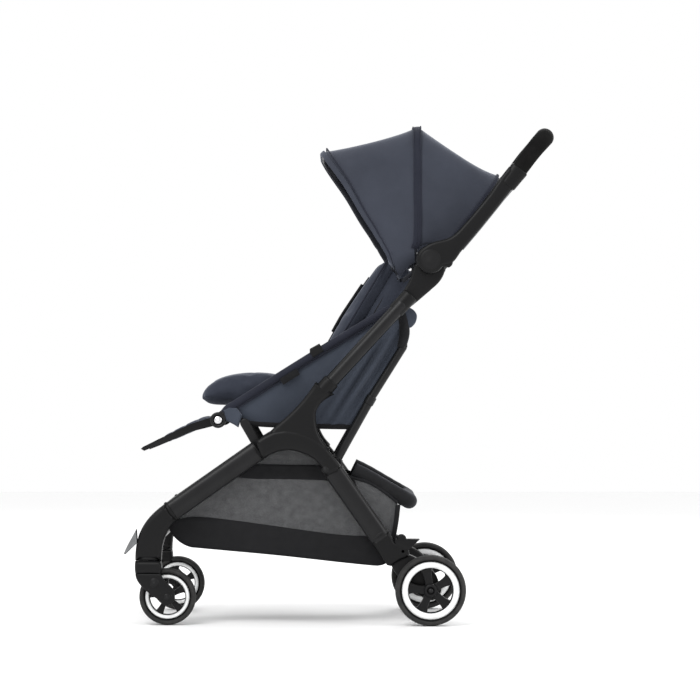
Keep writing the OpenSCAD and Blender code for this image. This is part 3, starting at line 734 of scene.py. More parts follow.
axle_parts = [sweep("axle", rod_line(*REAR_AXLE, -160, 160, count=24) * MM,
                    11 * MM, 11 * MM, (0, 0, 1), 32)]
for s in (-1, 1):
    axle_parts.append(sweep("stub", rod_line(*REAR_AXLE, 159, 224.6, s) * MM, 5 * MM, 5 * MM, (0, 0, 1), 20))
finish_piece(join("rear_axle", axle_parts), "rear_legs", paint, ["rear_axle"])


def caster(s, name):
    head = plate(name, resample(chain([(-407.6, 128.4), (-356.8, 128.4)],
                                      bezier((-355, 120), (-354.4, 112), (-355, 106), (-356, 101.6), 5),
                                      [(-380, 103.4)],
                                      bezier((-406.4, 101.6), (-408.6, 108), (-408.8, 118), (-408, 126), 5)),
                                100, True), *levels(s, 166.8, 209.2), 7, 5)
    parts = [head]
    arm = chain(bezier((-406.8, 104), (-407, 92), (-398, 76), (-361, 52), 12),
                arc((-343.6, 57), 16, 205, 370, 16),
                bezier((-328, 68), (-338, 84), (-352, 90), (-355.5, 104), 10))
    parts.append(plate(name + "_arm", resample(arm, 110, True), *levels(s, 199.9, 210), 3, 4))
    y = 210.6
    knob = [(0, 3.6), (5, 3.4), (8.6, 2.2), (10.6, 0.2), (11, -2), (0, -2)]
    parts.append(revolve(name + "_knob", [(r, s * d) for r, d in knob], (-369, s * (y - 1.6), 86), 36, False))
    parts.append(revolve(name + "_cap", [(r * 0.74, s * d * 0.7) for r, d in knob],
                         (FRONT_AXLE[0], s * (y - 1.2), FRONT_AXLE[1]),
                         32, False))
    stub = sweep(name + "_stub", rod_line(*FRONT_AXLE, 169, 204, s) * MM, 4.6 * MM, 4.6 * MM, (0, 0, 1), 20)
    parts.append(stub)
    return finish_piece(join(name, parts), name, moulding, [name])


both_sides(caster, "caster")

# %% [markdown]
# ## Upper frame
# The main tube slides in the stem. At its top the bracket swells into the hub that carries the
# handlebar and the canopy's three bows. The grip is one leather tube bent into a U.


# %% Main tubes, hubs and handlebar
main_dir = np.array([0.676, 0.737])
main_normal = np.array([-0.737, 0.676])


def main_pt(s):
    return np.array([78, 590]) - main_dir * s


def main_tube(s, name):
    tube = bar(name, [main_pt(206), main_pt(-78)], 14, 14, 183, s, 1)
    # a stop ring near the stem, as a clip
    ring = bar(name + "_ring", [main_pt(146), main_pt(138)], 15.2, 15.2, 183, s, 2)
    return finish_piece(join(name, [tube, ring]), "upper_frame", paint, [name])


both_sides(main_tube, "main_tube")


def hub_bracket(s, name):
    top = main_pt(-70)
    outline = chain([tuple(top + main_normal * 14.6)],
                    bezier(main_pt(-76) + main_normal * 15, (140, 682), (146, 700), (151, 722), 9),
                    arc(HUB_AXIS, 29.4, 196, 20, 34),
                    bezier((211, 728), (216, 712), (211, 696), (194, 680), 9),
                    bezier((188, 675), (172, 661), (160, 651), tuple(main_pt(-76) - main_normal * 15), 8))
    body = plate(name, resample(outline, 150, True), *levels(s, 168.2, 182.6), 5, 5)
    socket = bar(name + "_socket", [main_pt(-52), main_pt(-74), main_pt(-98)], 16.4, 14.9, 181.3, s, 5)
    parts = [body, socket]
    pin = sweep(name + "_pin", rod_line(*HUB_AXIS, 155, 204, s, 6) * MM, 5 * MM, 5 * MM, (0, 0, 1), 24)
    inner = [(0, -2.6), (9, -2.2), (11.5, -0.6), (12, 2), (0, 2)]
    parts += [pin, revolve(name + "_nut", [(r, s * y) for r, y in inner], (183, s * 150.6, 732), 36, False)]
    return finish_piece(join(name, parts), "upper_frame", moulding, [name])


both_sides(hub_bracket, "hub_bracket")


def handle_arm(s, name):
    """The flat arm with its round hub cover and the collar below the grip; its bright rear edge, a painted
    highlight, is a separate strip.
    """
    left = bezier((168, 755.6), (196, 778), (214, 762), (240, 791), 10)
    outline = chain(left, [(266, 820), (302, 864), (326, 900), (341, 919)], [(366, 899)],
                    [(352, 880), (345, 872.5), (322, 843), (282, 793), (250, 755)],
                    bezier((242, 745), (232, 730), (228, 722), (211, 720), 8),
                    arc(HUB_AXIS, 28, -25, -235, 40)[:-1])
    arm = plate(name, resample(outline, 200, True), *levels(s, 183.6, 205), 6.5, 6)
    cover = [(0, 1.4), (15, 1.2), (20, 0.6), (22, -0.8), (22.6, -1.5), (24.4, -1.5), (25.2, -0.4),
             (26.6, -1.4),
             (27.8, -4.6), (27.9, -9), (0, -9)]
    parts = [arm, revolve(name + "_cover", [(r, s * y) for r, y in cover],
                          (HUB_AXIS[0], s * 204.6, HUB_AXIS[1]), 72, False)]
    fin = plate(name + "_tab", resample(chain([(206, 718)],
                                              bezier((220, 716), (226, 718), (229, 724), (228, 732), 6),
                                              [(212, 742)]), 50, True), *levels(s, 186, 202), 3, 4)
    parts.append(fin)
    sleeve = bar(name + "_sleeve", [(336, 880), (352, 901), (362, 914)], np.linspace(17.2, 19.4, 48), 13.4,
                 193,
                 s, 3, power=2.6)
    parts.append(sleeve)
    return finish_piece(join(name, parts), "handlebar", moulding, [name])


def arm_edge(s, name):
    """A strip let into the rear edge of the arm, in pale grey metal: a painted highlight along that edge."""
    line = smooth_path([(248, 752), (282, 792.4), (322, 842), (345.4, 872)], 40)
    path = at_y(line, s * 194)
    return finish_piece(sweep(name, path * MM, 1.5 * MM, 6.2 * MM, (0, 1, 0), 20, 3.0), "handlebar",
                        bumper_metal)


both_sides(handle_arm, "handle_arm")
# the arms' rear-edge strips, pale grey metal as a painted highlight along each edge
both_sides(arm_edge, "arm_edge")

# One half of the grip runs up along the arm and rolls over into the cross bar.
half_path = np.array([[352.5, 193.2, 900.5], [366, 193.2, 919], [382, 193, 941], [397, 190.5, 960],
                      [407.5, 184, 972], [412.6, 172, 977.8], [414, 156, 979], [414, 120, 979],
                      [414, 60, 979],
                      [414, 0, 979]])
half_path = smooth_path(half_path, 110)
steps = np.r_[0, np.cumsum(np.linalg.norm(np.diff(half_path, axis=0), axis=1))]
f = np.clip(steps / 118, 0, 1)
ease = f * f * (3 - 2 * f)
across_w = 16.4 + 2.1 * ease
across_t = 11.8 + 6.7 * ease
left_path = half_path * [1, -1, 1]
grip_path = np.vstack([left_path, half_path[::-1][1:]])
widths, depths = np.r_[across_w, across_w[::-1][1:]], np.r_[across_t, across_t[::-1][1:]]
# the section is wide in the side view: its thin direction starts along Y and turns with the bend
tangent = np.gradient(grip_path, axis=0)
tangent /= np.linalg.norm(tangent, axis=1, keepdims=True)
in_plane = np.array([-0.8, 0, 0.6])
grip = sweep("handle_grip", grip_path * MM, depths * MM, widths * MM, in_plane, 40)
finish_piece(grip, "handlebar", leather, ["handle_grip"])

# stitching along the inner, rear side of the grip
stitches = []
ring = np.array([math.cos(math.radians(-10)), 0, math.sin(math.radians(-10))])
for k in range(-52, 53):
    y = k * 2.9
    a, b = (np.array([414, y - 0.9, 979]) + ring * 18.4), (np.array([414, y + 0.9, 979]) + ring * 18.4)
    c = (a + b) / 2 + ring * 0.5
    stitches.append(sweep("stitch", np.array([a, c, b]) * MM, 0.35 * MM, 0.35 * MM, (1, 0, 0), 6))
finish_piece(join("grip_stitches", stitches), "handlebar", dark_cloth)

# the fold button keeps the CAD's shape, with softened edges
button = nodes["fold_button"]
button.data.materials.clear()
button.data.materials.append(bumper_metal)
modify(button, "BEVEL", width=1.6 * MM, segments=3)

# %% [markdown]
# ## Canopy
# Cloth hung between two bows sags between them, so each panel is a saddle: across the bows it
# follows their U, along them it dips. A panel's grid runs from one bow to the next (t), and from one
# hub up over the top and down to the other hub (u). Each point is placed in polar form round the hub
# axis.


# %% Canopy panels, hems and bows
HUB = np.array(HUB_AXIS, float)


def bow_line(reach, half_y, corner, count, start=19.0):
    """Half of a U in its own plane as (distance from the hub axis, y), from the hub to the middle."""
    turn = np.radians(np.linspace(90, 0, 24))
    line = np.vstack([[start, half_y], np.column_stack([reach - corner + corner * np.cos(turn),
                                                        half_y - corner + corner * np.sin(turn)]),
                      [reach, 0]])
    return resample(line, count)


# Seen from the side the cloth's edges are not straight spokes: this is how far round the hub axis
# each edge lies, in degrees, at distances from the axis in mm.
FRONT_EDGE = ([71, 76, 81.5, 100, 110, 142, 214, 309], [217, 192, 173.7, 161, 157, 148.4, 138.8, 134.2])
MID_EDGE = ([29, 32, 38, 48, 70, 100, 150, 200, 272], [196, 172, 142, 122, 110.5, 104, 99.6, 97.2, 95.2])
REAR_EDGE = ([34, 60, 85, 149, 206, 224], [42, 44, 46, 48.4, 49.8, 51.0])


def edge_curve(reach, half_y, start, bend, count=61, shift=0.0):
    """An edge of the canopy from the hub to the middle, as (distance, y, angle in radians)."""
    line = bow_line(reach, half_y, 66, count, start)
    distance, angle = smooth_path(np.column_stack(bend), 240).T
    return line[:, 0], line[:, 1], np.radians(np.interp(line[:, 0], distance, angle) + shift)


def canopy_panel(name, edge_a, edge_b, dip, side_dip=5.0):
    """A saddle of cloth between two edges. The rows blend the edges; the chord between two bows lies
    nearer the hub than an arc would, and the sag 4t(1-t) is added to that."""
    t = np.linspace(0, 1, 25)[:, None]
    r, y, theta = (a[None] * (1 - t) + b[None] * t for a, b in zip(edge_a, edge_b))
    sag = 4 * t * (1 - t)
    climb = np.clip((r - 60) / 200, 0, 1)
    half_angle = np.abs(edge_a[2] - edge_b[2])[None] / 2
    middle = (edge_a[2] + edge_b[2])[None] / 2
    chord = np.cos(np.minimum(half_angle, 0.6)) / np.cos(np.clip(theta - middle, -0.6, 0.6))
    top = np.clip((160.0 - y) / 70.0, 0, 1)
    r = r * (1 - (1 - chord) * (0.35 + 0.65 * top)) - sag * dip * (0.25 + 0.75 * top) * climb
    y = y - sag * side_dip * climb * (1 - 0.6 * top)
    points = np.stack([HUB[0] + r * np.cos(theta), y, HUB[1] + r * np.sin(theta)], -1)
    mirrored = points[:, ::-1][:, 1:] * [1, -1, 1]
    return add_grid(name, np.concatenate([points, mirrored], 1) * MM)


def thicken(obj, thickness=1.4, offset=-1.0):
    modify(obj, "SOLIDIFY", thickness=thickness * MM, offset=offset, use_even_offset=False)
    return apply_all(obj)


def cloth_area(obj):
    """Area of a single layer of cloth in square metres."""
    return float(sum(face.area for face in obj.data.polygons))


def flat_area(grid):
    """Area of a grid (rows, columns, 3) of points, the same measure that a tailor cuts."""
    p, q = grid[1:, :-1] - grid[:-1, :-1], grid[:-1, 1:] - grid[:-1, :-1]
    return float(np.linalg.norm(np.cross(p, q), axis=2).sum())


def joint_bend(obj):
    """Bakes the piece's transform into its mesh."""
    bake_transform(obj)


front_panel = canopy_panel("canopy_front_panel_cloth", edge_curve(309.5, 163.4, 72, FRONT_EDGE),
                           edge_curve(271.5, 168.4, 30, MID_EDGE, shift=1.0), 13, 4)
front_area = cloth_area(front_panel)
thicken(front_panel)
front_panel.data.materials.append(slate)
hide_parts("canopy_front_panel")
joint_bend(front_panel)

rear_panel = canopy_panel("canopy_rear_panel_cloth", edge_curve(271.5, 168.4, 34, MID_EDGE, shift=-1.0),
                          edge_curve(224.5, 158.4, 36, REAR_EDGE), 17, 5)
thicken(rear_panel)
rear_panel.data.materials.append(slate)
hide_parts("canopy_rear_panel")
joint_bend(rear_panel)


def bow_strip(name, reach, half_y, start, bend, half_w, thick, shift=0.0):
    """A band of cloth along one edge of the canopy, from hub to hub, as a flat sweep."""
    r, y, theta = edge_curve(reach, half_y, start, bend, 70, shift)
    half = np.stack([HUB[0] + r * np.cos(theta), y, HUB[1] + r * np.sin(theta)], 1)
    path = np.vstack([half, (half * [1, -1, 1])[::-1][1:]])
    turn = np.r_[theta, theta[::-1][1:]]
    along_arc = np.stack([-np.sin(turn), 0 * turn, np.cos(turn)], 1)
    return sweep(name, path * MM, thick * MM, half_w * MM, along_arc, 20, 2.6)


mid_strip = bow_strip("canopy_mid_strip", 273.0, 168.8, 38, MID_EDGE, 8.2, 2.0)
rib = [bow_strip("rib", 275.0, 170.0, 40, MID_EDGE, 1.0, 1.1, d) for d in (-1.6, 1.6)]
mid_strip = join("canopy_mid_strip", [mid_strip] + rib)
finish_piece(mid_strip, "canopy_mid", navy_edge)
front_hem = bow_strip("canopy_front_hem", 310.2, 163.8, 72, FRONT_EDGE, 5.4, 1.6, 0.3)
finish_piece(front_hem, "canopy_front", slate)
front_piping = bow_strip("canopy_front_piping", 309.6, 165.0, 73, FRONT_EDGE, 1.5, 1.5, -2.0)
finish_piece(front_piping, "canopy_front", navy_edge)
rear_hem = bow_strip("canopy_rear_hem", 225.2, 158.8, 38, REAR_EDGE, 3.2, 1.7, 0.4)
finish_piece(rear_hem, "upper_frame", navy_edge)


def bow(name, reach, y_in, start, bend, body, node):
    """The flat plastic bow inside the cloth's sleeve, with round eyes on the hub pin."""
    r, y, theta = edge_curve(reach - 2.5, y_in + 2.5, start, bend, 70)
    half = np.stack([HUB[0] + r * np.cos(theta), y, HUB[1] + r * np.sin(theta)], 1)
    path = np.vstack([half, (half * [1, -1, 1])[::-1][1:]])
    turn = np.r_[theta, theta[::-1][1:]]
    normal = np.stack([-np.sin(turn), 0 * turn, np.cos(turn)], 1)
    parts = [sweep(name, path * MM, 2.4 * MM, 4.5 * MM, normal, 16, 4.0)]
    for s in (-1, 1):
        profile = [(5.3, -2.4), (15.5, -2.4), (17.6, -1.4), (17.6, 1.4), (15.5, 2.4), (5.3, 2.4)]
        parts.append(revolve(name + "_eye", profile, (HUB[0], s * (y_in + 2.5), HUB[1]), 40))
        near = half[0] * [1, s, 1]
        arm = np.linspace([HUB[0] + 12 * math.cos(theta[0]), near[1], HUB[1] + 12 * math.sin(theta[0])],
                          near, 8)
        parts.append(sweep(name + "_arm", arm * MM, 2.4 * MM, 4.5 * MM, normal[0], 16, 4.0))
    return finish_piece(join(name, parts), body, bow_plastic, [node])


bow("canopy_front_bow", 308, 156.8, 70, FRONT_EDGE, "canopy_front", "canopy_front_bow")
bow("canopy_mid_bow", 270, 162.4, 31, MID_EDGE, "canopy_mid", "canopy_mid_bow")
bow("canopy_rear_bow", 223, 151.2, 36, REAR_EDGE, "upper_frame", "canopy_rear_bow")

# %% [markdown]
# ## Padded pieces
# The cushion, backrest and leg rest are cloth bags full of foam. Each starts as a rounded block
# swept from its side view, a little under size. A short cloth simulation with inner pressure blows
# it up; a limit keeps each point near its start, and one subdivision smooths the result. The sewn
# channels are pressed in afterwards as smooth valleys, and a piping is laid along the rim.


# %% Pads by cloth simulation
def tile_block(name, outline, half_y, edge, rows_y=40):
    """A closed block: a side-view outline carried across Y, rounded over at both flanks."""
    line = resample(np.asarray(outline, float), 120, True)
    ys = np.linspace(-1, 1, rows_y)
    from_end = (1 - np.abs(ys)) * half_y
    inset = np.where(from_end < edge, edge - np.sqrt(np.clip(edge ** 2 - (edge - from_end) ** 2, 0, None)), 0)
    step = np.roll(line, -1, 0) - np.roll(line, 1, 0)
    area = 0.5 * np.sum(line[:, 0] * np.roll(line[:, 1], -1) - np.roll(line[:, 0], -1) * line[:, 1])
    step = step / (np.linalg.norm(step, axis=1, keepdims=True) + 1e-12) * np.sign(area)
    inward = np.stack([-step[:, 1], step[:, 0]], 1)
    apart = line[None] - line[:, None]
    facing = (apart * inward[:, None]).sum(2)
    reach = np.where(facing > 1e-6, (apart ** 2).sum(2) / (2 * np.maximum(facing, 1e-6)), 1e3).min(1)
    flat = line[None] + inward[None] * np.minimum(inset[:, None], 0.8 * reach[None])[:, :, None]
    points = np.stack([flat[..., 0], np.broadcast_to(ys[:, None] * half_y, flat.shape[:2]), flat[..., 1]], -1)
    return outward(add_grid(name, points * MM, False, True, True))


def read_points(obj):
    points = np.empty(len(obj.data.vertices) * 3)
    obj.data.vertices.foreach_get("co", points)
    return points.reshape(-1, 3)


def write_points(obj, points):
    obj.data.vertices.foreach_set("co", np.ascontiguousarray(points, float).ravel())
    obj.data.update()


def inflate(obj, voxel=5.0, cap=9.0, pressure=4.0):
    """Remeshes a closed shape, blows it up as cloth, caps each point's travel and smooths it."""
    modify(obj, "REMESH", mode="VOXEL", voxel_size=voxel * MM, use_smooth_shade=True)
    obj = apply_all(obj)
    start = read_points(obj)
    cloth = modify(obj, "CLOTH")
    cloth.settings.use_pressure = True
    cloth.settings.uniform_pressure_force = pressure
    cloth.settings.mass = 0.25
    cloth.settings.tension_stiffness = 12
    cloth.settings.compression_stiffness = 12
    cloth.settings.bending_stiffness = 0.6
    cloth.settings.effector_weights.gravity = 0
    cloth.collision_settings.use_collision = False
    cloth.point_cache.frame_start, cloth.point_cache.frame_end = 1, 20
    for number in range(1, 21):
        bpy.context.scene.frame_set(number)
    obj = apply_all(obj)
    bpy.context.scene.frame_set(1)
    moved = read_points(obj) - start
    length = np.linalg.norm(moved, axis=1, keepdims=True)
    limit = cap * MM * (1 - np.exp(-length / (cap * MM)))
    write_points(obj, start + moved / np.maximum(length, 1e-9) * limit)
    modify(obj, "SUBSURF", levels=1, render_levels=1)
    obj = apply_all(obj)
    obj.data.shade_smooth()
    return obj


def press_line(obj, line, width, depth, across=("x", "z"), only=None):
    """Presses a seam: points within `width` mm of a polyline sink along their normal by depth mm
    times a bell curve of their distance."""
    points = read_points(obj) / MM
    normals = np.empty(len(points) * 3)
    obj.data.vertices.foreach_get("normal", normals)
    normals = normals.reshape(-1, 3)
    pick = ["xyz".index(c) for c in across]
    flat = points[:, pick]
    line = np.asarray(line, float)
    best = np.full(len(flat), 1e9)
    for a, b in zip(line[:-1], line[1:]):
        d = b - a
        t = np.clip(((flat - a) @ d) / (d @ d), 0, 1)[:, None]
        best = np.minimum(best, np.linalg.norm(flat - a - t * d, axis=1))
    amount = depth * np.exp(-(best / width) ** 2)
    if only is not None:
        amount = amount * only(normals)
    write_points(obj, (points - normals * amount[:, None]) * MM)
    obj.data.update()
    return obj


cushion_line = chain(bezier((-281, 449), (-284, 453), (-281, 462), (-270, 473), 10),
                     bezier((-262, 479), (-240, 494), (-206, 500), (-172, 501), 12),
                     bezier((-150, 501), (-112, 499), (-96, 486), (-84, 460), 12),
                     [(-74, 440), (-70, 412)], [(-100, 409), (-170, 411.5), (-206, 440), (-222, 446.5)],
                     [(-250, 447)])
cushion = inflate(tile_block("seat_cushion", cushion_line, 127, 20), 5.0, 8.0)


def top_only(normals):
    return np.clip(normals[:, 2] * 2, 0, 1)


for y in (-88, 88):
    press_line(cushion, [(-258, y), (-90, y)], 4.0, 4.5, ("x", "y"), top_only)
press_line(cushion, [(-252, -88), (-262, -50), (-266, 0), (-262, 50), (-252, 88)], 4.0, 3.5, ("x", "y"),
           top_only)
press_line(cushion, [(-176, -86), (-176, 86)], 3.5, 2.5, ("x", "y"), top_only)
finish_piece(cushion, "chassis", slate_seat, ["seat_cushion"])

# %% [markdown]
# The backrest leans at 59 degrees and reclines by itself, so it is one separate pad with its own
# rim piping and two long channels.

# %% Backrest, leg rest and their pipings
BACK_DIR = np.array([math.cos(math.radians(59)), math.sin(math.radians(59))])
BACK_OUT = np.array([-BACK_DIR[1], BACK_DIR[0]])


def back_pt(u, v):
    """Side-view point u mm up the backrest's face and v mm in front of it."""
    return np.array([-66, 478]) + BACK_DIR * u + BACK_OUT * v


back_line = [tuple(back_pt(u, v)) for u, v in ((10, -8), (36, -2), (90, 2), (160, 4), (230, 1), (286, -3),
                                               (306, -10),
                                               (312, -20), (300, -32), (150, -35), (14, -34), (6, -20))]
backrest = inflate(tile_block("backrest_pad", back_line, 126, 15), 5.0, 6.0)

# the cloth back behind the pad is a slacker bag that fills out towards the top
shell_line = [tuple(back_pt(u, v)) for u, v in ((34, -30), (150, -28), (296, -28), (312, -40), (312, -60),
                                                (294, -76),
                                                (200, -80), (120, -70), (40, -54))]
back_shell = inflate(tile_block("backrest_shell", shell_line, 127, 14), 5.0, 6.0)
finish_piece(back_shell, "backrest", slate_seat)


def back_front(normals):
    out = np.array([BACK_OUT[0], 0, BACK_OUT[1]])
    return np.clip(normals @ out * 2, 0, 1)


for y in (-84, 84):
    press_line(backrest, [(485, y), (725, y)], 4.0, 4.0, ("z", "y"), back_front)
for u in (70, 150, 230):
    z = back_pt(u, 0)[1]
    press_line(backrest, [(z, -82), (z, 82)], 3.5, 3.0, ("z", "y"), back_front)
finish_piece(backrest, "backrest", slate_seat, ["backrest_pad"])


def piping(name, points, radius, body, material, closed=False, count=160):
    """A sewn cord along a 3-D line in millimetres."""
    line = smooth_path(np.asarray(points, float), count, closed)
    cord = sweep(name, line * MM, radius * MM, radius * MM, (0.3, 0.1, 0.9), 10, 2.0, closed)
    return finish_piece(cord, body, material)


rim = []
for y, u in ((-129, 18), (-130, 120), (-129, 240), (-127, 280), (-118, 302), (-100, 311), (0, 315),
             (100, 311),
             (118, 302), (127, 280), (129, 240), (130, 120), (129, 18)):
    p = back_pt(u, -9)
    rim.append((p[0], y, p[1]))
piping("backrest_piping", rim, 2.2, "backrest", navy_edge)
rim = [(-268, -110, 470), (-272, -80, 464.5), (-277, -40, 458), (-278, 0, 457), (-277, 40, 458),
       (-272, 80, 464.5),
       (-268, 110, 470)]
piping("cushion_piping", rim, 2.0, "chassis", navy_edge)

leg_line = [(-265, 416), (-298, 401.5), (-338, 381.5), (-360, 371), (-361, 363), (-338, 373), (-298, 390.5),
            (-266, 405.5), (-260, 411)]
leg_pad = inflate(tile_block("leg_rest_pad", leg_line, 113, 7), 4.0, 5.0)
for x in (-290, -315, -340):
    press_line(leg_pad, [(x, -106), (x, 106)], 3.0, 2.2, ("x", "y"),
               lambda n: np.clip(np.abs(n[:, 2]) * 2, 0, 1))
finish_piece(leg_pad, "leg_rest", slate_seat, ["leg_rest_pad"])

# %% [markdown]
# ## Seat sides, straps and basket
# The seat hangs in two cloth sides, sewn round the rising tube in front and laced to the strut
# behind, where the slack gathers in folds. Each side is one sheet, a grid between its top edge and
# its bottom edge, and the folds are ridges that run parallel to the strut and fade forwards.


# %% Seat sides
def side_panel(s, name):
    rows, columns = 44, 90
    u = np.linspace(0, 1, columns)
    v = np.linspace(0, 1, rows)[:, None, None]
    top = resample(chain([(-214, 433)], [(-100, 505), (96, 626)],
                         bezier((100, 628), (116, 633), (127, 622), (128, 606), 8),
                         [(127, 584)]), columns)
    low = resample([(-208, 420), (-196, 411), (-176, 404), (-110, 400), (24, 398), (38, 404), (60, 447),
                    (84, 486),
                    (121, 552), (127, 572)], columns)
    grid = top[None] * (1 - v) + low[None] * v
    x, z = grid[..., 0], grid[..., 1]
    along = np.array([0.53, 0.848])                    # direction of the strut
    off = np.array([-0.848, 0.53])                     # away from the strut, forwards
    q = np.stack([x - 30, z - 400], -1)
    d, h = q @ off, q @ along
    fade = np.exp(-((d - 34) / 42) ** 2) * np.clip(1.25 - np.abs(h - 92) / 125, 0, 1)
    folds = 7.5 * fade * np.sin(2 * np.pi * (d - 4) / 25 + 0.006 * h)
    vv = v[..., 0]
    belly = 5.5 * np.sin(np.pi * vv) * np.sin(np.pi * u[None]) ** 0.6
    y_top, y_low = 146.5, 137.5
    y = y_top * (1 - vv) + y_low * vv + belly * 0.55 + folds
    at_hems = np.exp(-(vv / 0.05) ** 2) + np.exp(-((1 - vv) / 0.06) ** 2)
    pucker = 0.5 * np.sin(2 * np.pi * (x + 0.4 * z) / 11) * at_hems
    y = np.clip(y + pucker, 129.5, 156.0)
    points = np.stack([x, s * y, z], -1) * MM
    panel = add_grid(name, points)
    area = flat_area(points)
    thicken(panel, 1.6, 0.0)
    finish_piece(panel, "chassis", slate_side, [name])
    return panel, area


slate_side = make_cloth("slate_side_cloth", (0.022, 0.027, 0.038), (0.048, 0.057, 0.077), 260.0)
sides = []
for s, tag in ((-1, "left"), (1, "right")):
    panel, area = side_panel(s, "side_panel_" + tag)
    # the sleeve round the rising tube, with a stitched seam under it
    line = smooth_path([(-232, 424), (-223, 434), (-200, 448), (-60, 536), (90, 627), (106, 633)], 110)
    path = at_y(line, s * 148)
    sleeve = sweep("seat_sleeve_" + tag, path * MM, 8.2 * MM, 8.2 * MM, (0, 1, 0), 24)
    finish_piece(sleeve, "chassis", navy_edge)
    line = smooth_path([(98, 630), (112, 632), (125, 623), (131, 606), (131.5, 582), (126, 556)], 60)
    path = at_y(line, s * 148)
    plump = np.interp(np.linspace(0, 1, 60), [0, 0.3, 0.7, 1], [8.4, 9.6, 11.0, 9.2]) * MM
    finish_piece(sweep("elbow_sleeve_" + tag, path * MM, plump, 8.8 * MM, (0, 1, 0), 24), "chassis",
                 dark_cloth)
    loop = plate("seat_loop_" + tag, smooth_path([(134, 636), (148, 634), (157, 622), (154, 606), (143, 596),
                                                  (136, 606)],
                                                 60, True), *levels(s, 143, 153), 3, 4)
    finish_piece(loop, "chassis", slate_side)
    seam_path = smooth_path([(-206, 432), (-60, 524), (92, 617)], 80)
    seam = sweep("seat_seam_" + tag, at_y(seam_path, s * 150.8) * MM,
                 1.2 * MM, 1.2 * MM, (0, 1, 0), 8)
    finish_piece(seam, "chassis", navy_edge)
    print("side panel", tag, "cut area", round(area, 4))
    # dark band along the bottom of the seat
    low = smooth_path([(-200, 411), (-176, 403), (-110, 399), (20, 396), (34, 399), (40, 408)], 80)
    band = sweep("seat_band_" + tag, at_y(low, s * 138.5) * MM,
                 5.2 * MM, 3.4 * MM, (0, 1, 0), 16, 2.6)
    finish_piece(band, "chassis", dark_cloth)
    # blank woven label sewn over the sleeve
    t = np.array([0.85, 0.527])
    n = np.array([-t[1], t[0]])
    c = np.array([-99, 497.5])
    label_line = [tuple(c + t * a + n * b) for a, b in ((-20, -7), (20, -7), (20, 7), (-20, 7))]
    label = plate("label_" + tag, resample(label_line, 60, True), *levels(s, 154.4, 157.2), 0.9, 3)
    finish_piece(label, "chassis", dark_cloth)
    # cloth tab that holds the corner of the seat to the hinge
    tab = plate("hinge_tab_" + tag, resample([(-234, 430), (-222, 437), (-206, 434), (-196, 420),
                                              (-198, 411), (-203, 395),
                                               (-212, 401), (-228, 409)], 80, True), *levels(s, 139, 157.4),
                5, 5)
    finish_piece(tab, "chassis", slate_side)
    # clip on the sleeve, where the harness hooks on
    clip = plate("sleeve_clip_" + tag, resample([tuple(np.array([-46, 550]) + t * a + n * b) for a, b in
                                                 ((-13, -9), (13, -9), (13, 9), (-9, 10), (-13, 4))], 60,
                                                True),
                 *levels(s, 139, 157.6), 2.2, 4)
    finish_piece(clip, "chassis", moulding)


# %% [markdown]
# Struts, hinges and links are plain bars and turned rings.

# %% Seat tubes, struts and hinges
for s, tag in ((-1, "left"), (1, "right")):
    ring = [(5, -9), (14.6, -9), (16, -7.6), (16, 7.6), (14.6, 9), (10.4, 9), (9.8, 6.4), (9.6, 0), (5, 0)]
    hinge = revolve("hinge_ring", [(r, s * y) for r, y in ring], (-244, s * 148.6, 410), 64)
    tube = bar("hinge_tube", [(-240, 414), (-226, 429)], 7, 7, 148, s, 1)
    arm = bar("elbow_tube", [(131, 612), (131, 556)], 7, 7, 148, s, 1)
    finish_piece(join("seat_side_tube_" + tag, [hinge, tube, arm]), "chassis", paint,
                 ["seat_side_tube_" + tag])
    dome = [(0, 4.6), (4, 4.3), (7.4, 3.2), (9.0, 1.2), (9.2, -1.2), (0, -1.2)]
    button = revolve("leg_button_" + tag, [(r, s * y) for r, y in dome], (-244, s * 153.4, 410), 48, False)
    finish_piece(button, "leg_button_" + tag, button_metal, ["leg_rest_button_" + tag])
    upper = bar("upper", [(60, 446.6), (131, 560)], 8.2, 8.2, 148, s, 2)
    lower = bar("lower", [(-7, 326), (64, 453)], 9.2, 9.2, 148, s, 2)
    collar = bar("collar", [(58, 442), (67, 458)], 10.6, 10.6, 148, s, 2.5)
    foot = revolve("foot", [(8.2, -8.6), (11.4, -8.6), (12.2, -7.6), (12.2, 7.6), (11.4, 8.6), (8.2, 8.6)],
                   (-7, s * 148, 326), 40)
    finish_piece(join("rear_strut_" + tag, [upper, lower, collar, foot]), "chassis", paint,
                 ["rear_strut_" + tag])
links = []
for s in (-1, 1):
    outline = chain(arc((-190, 404), 9.4, 30, 210, 14), arc((-160, 352), 9.4, 210, 390, 14))
    links.append(plate("link", resample(outline, 70, True), *levels(s, 151.2, 159), 2.6, 4))
    for at, lo, hi in (((-190, 404), 133, 152), ((-160, 352), 157, 166)):
        links.append(sweep("link_pin", rod_line(*at, lo, hi, s) * MM, 5 * MM, 5 * MM, (0, 0, 1), 20))
finish_piece(join("seat_links", links), "chassis", paint, ["seat_links"])

# %% [markdown]
# Webbing is made directly: a thin band with rounded edges.


# %% Harness
def on_pad(u, y, lift):
    """The point on the backrest's face at u mm up and y mm across, raised by lift mm."""
    start, out = back_pt(u, 60), np.array([BACK_OUT[0], 0, BACK_OUT[1]])
    hit, place, _, _ = backrest.ray_cast(Vector((start[0] * MM, y * MM, start[1] * MM)), Vector(-out))
    base = np.array(place) / MM if hit else np.array([back_pt(u, 0)[0], y, back_pt(u, 0)[1]])
    return base + out * lift


def strap(name, points, half_width, thick, side, body, material=None):
    line = smooth_path(points, 90)
    band = sweep(name, line * MM, thick * MM, half_width * MM, side, 16, 4.0)
    return finish_piece(band, body, material or webbing)


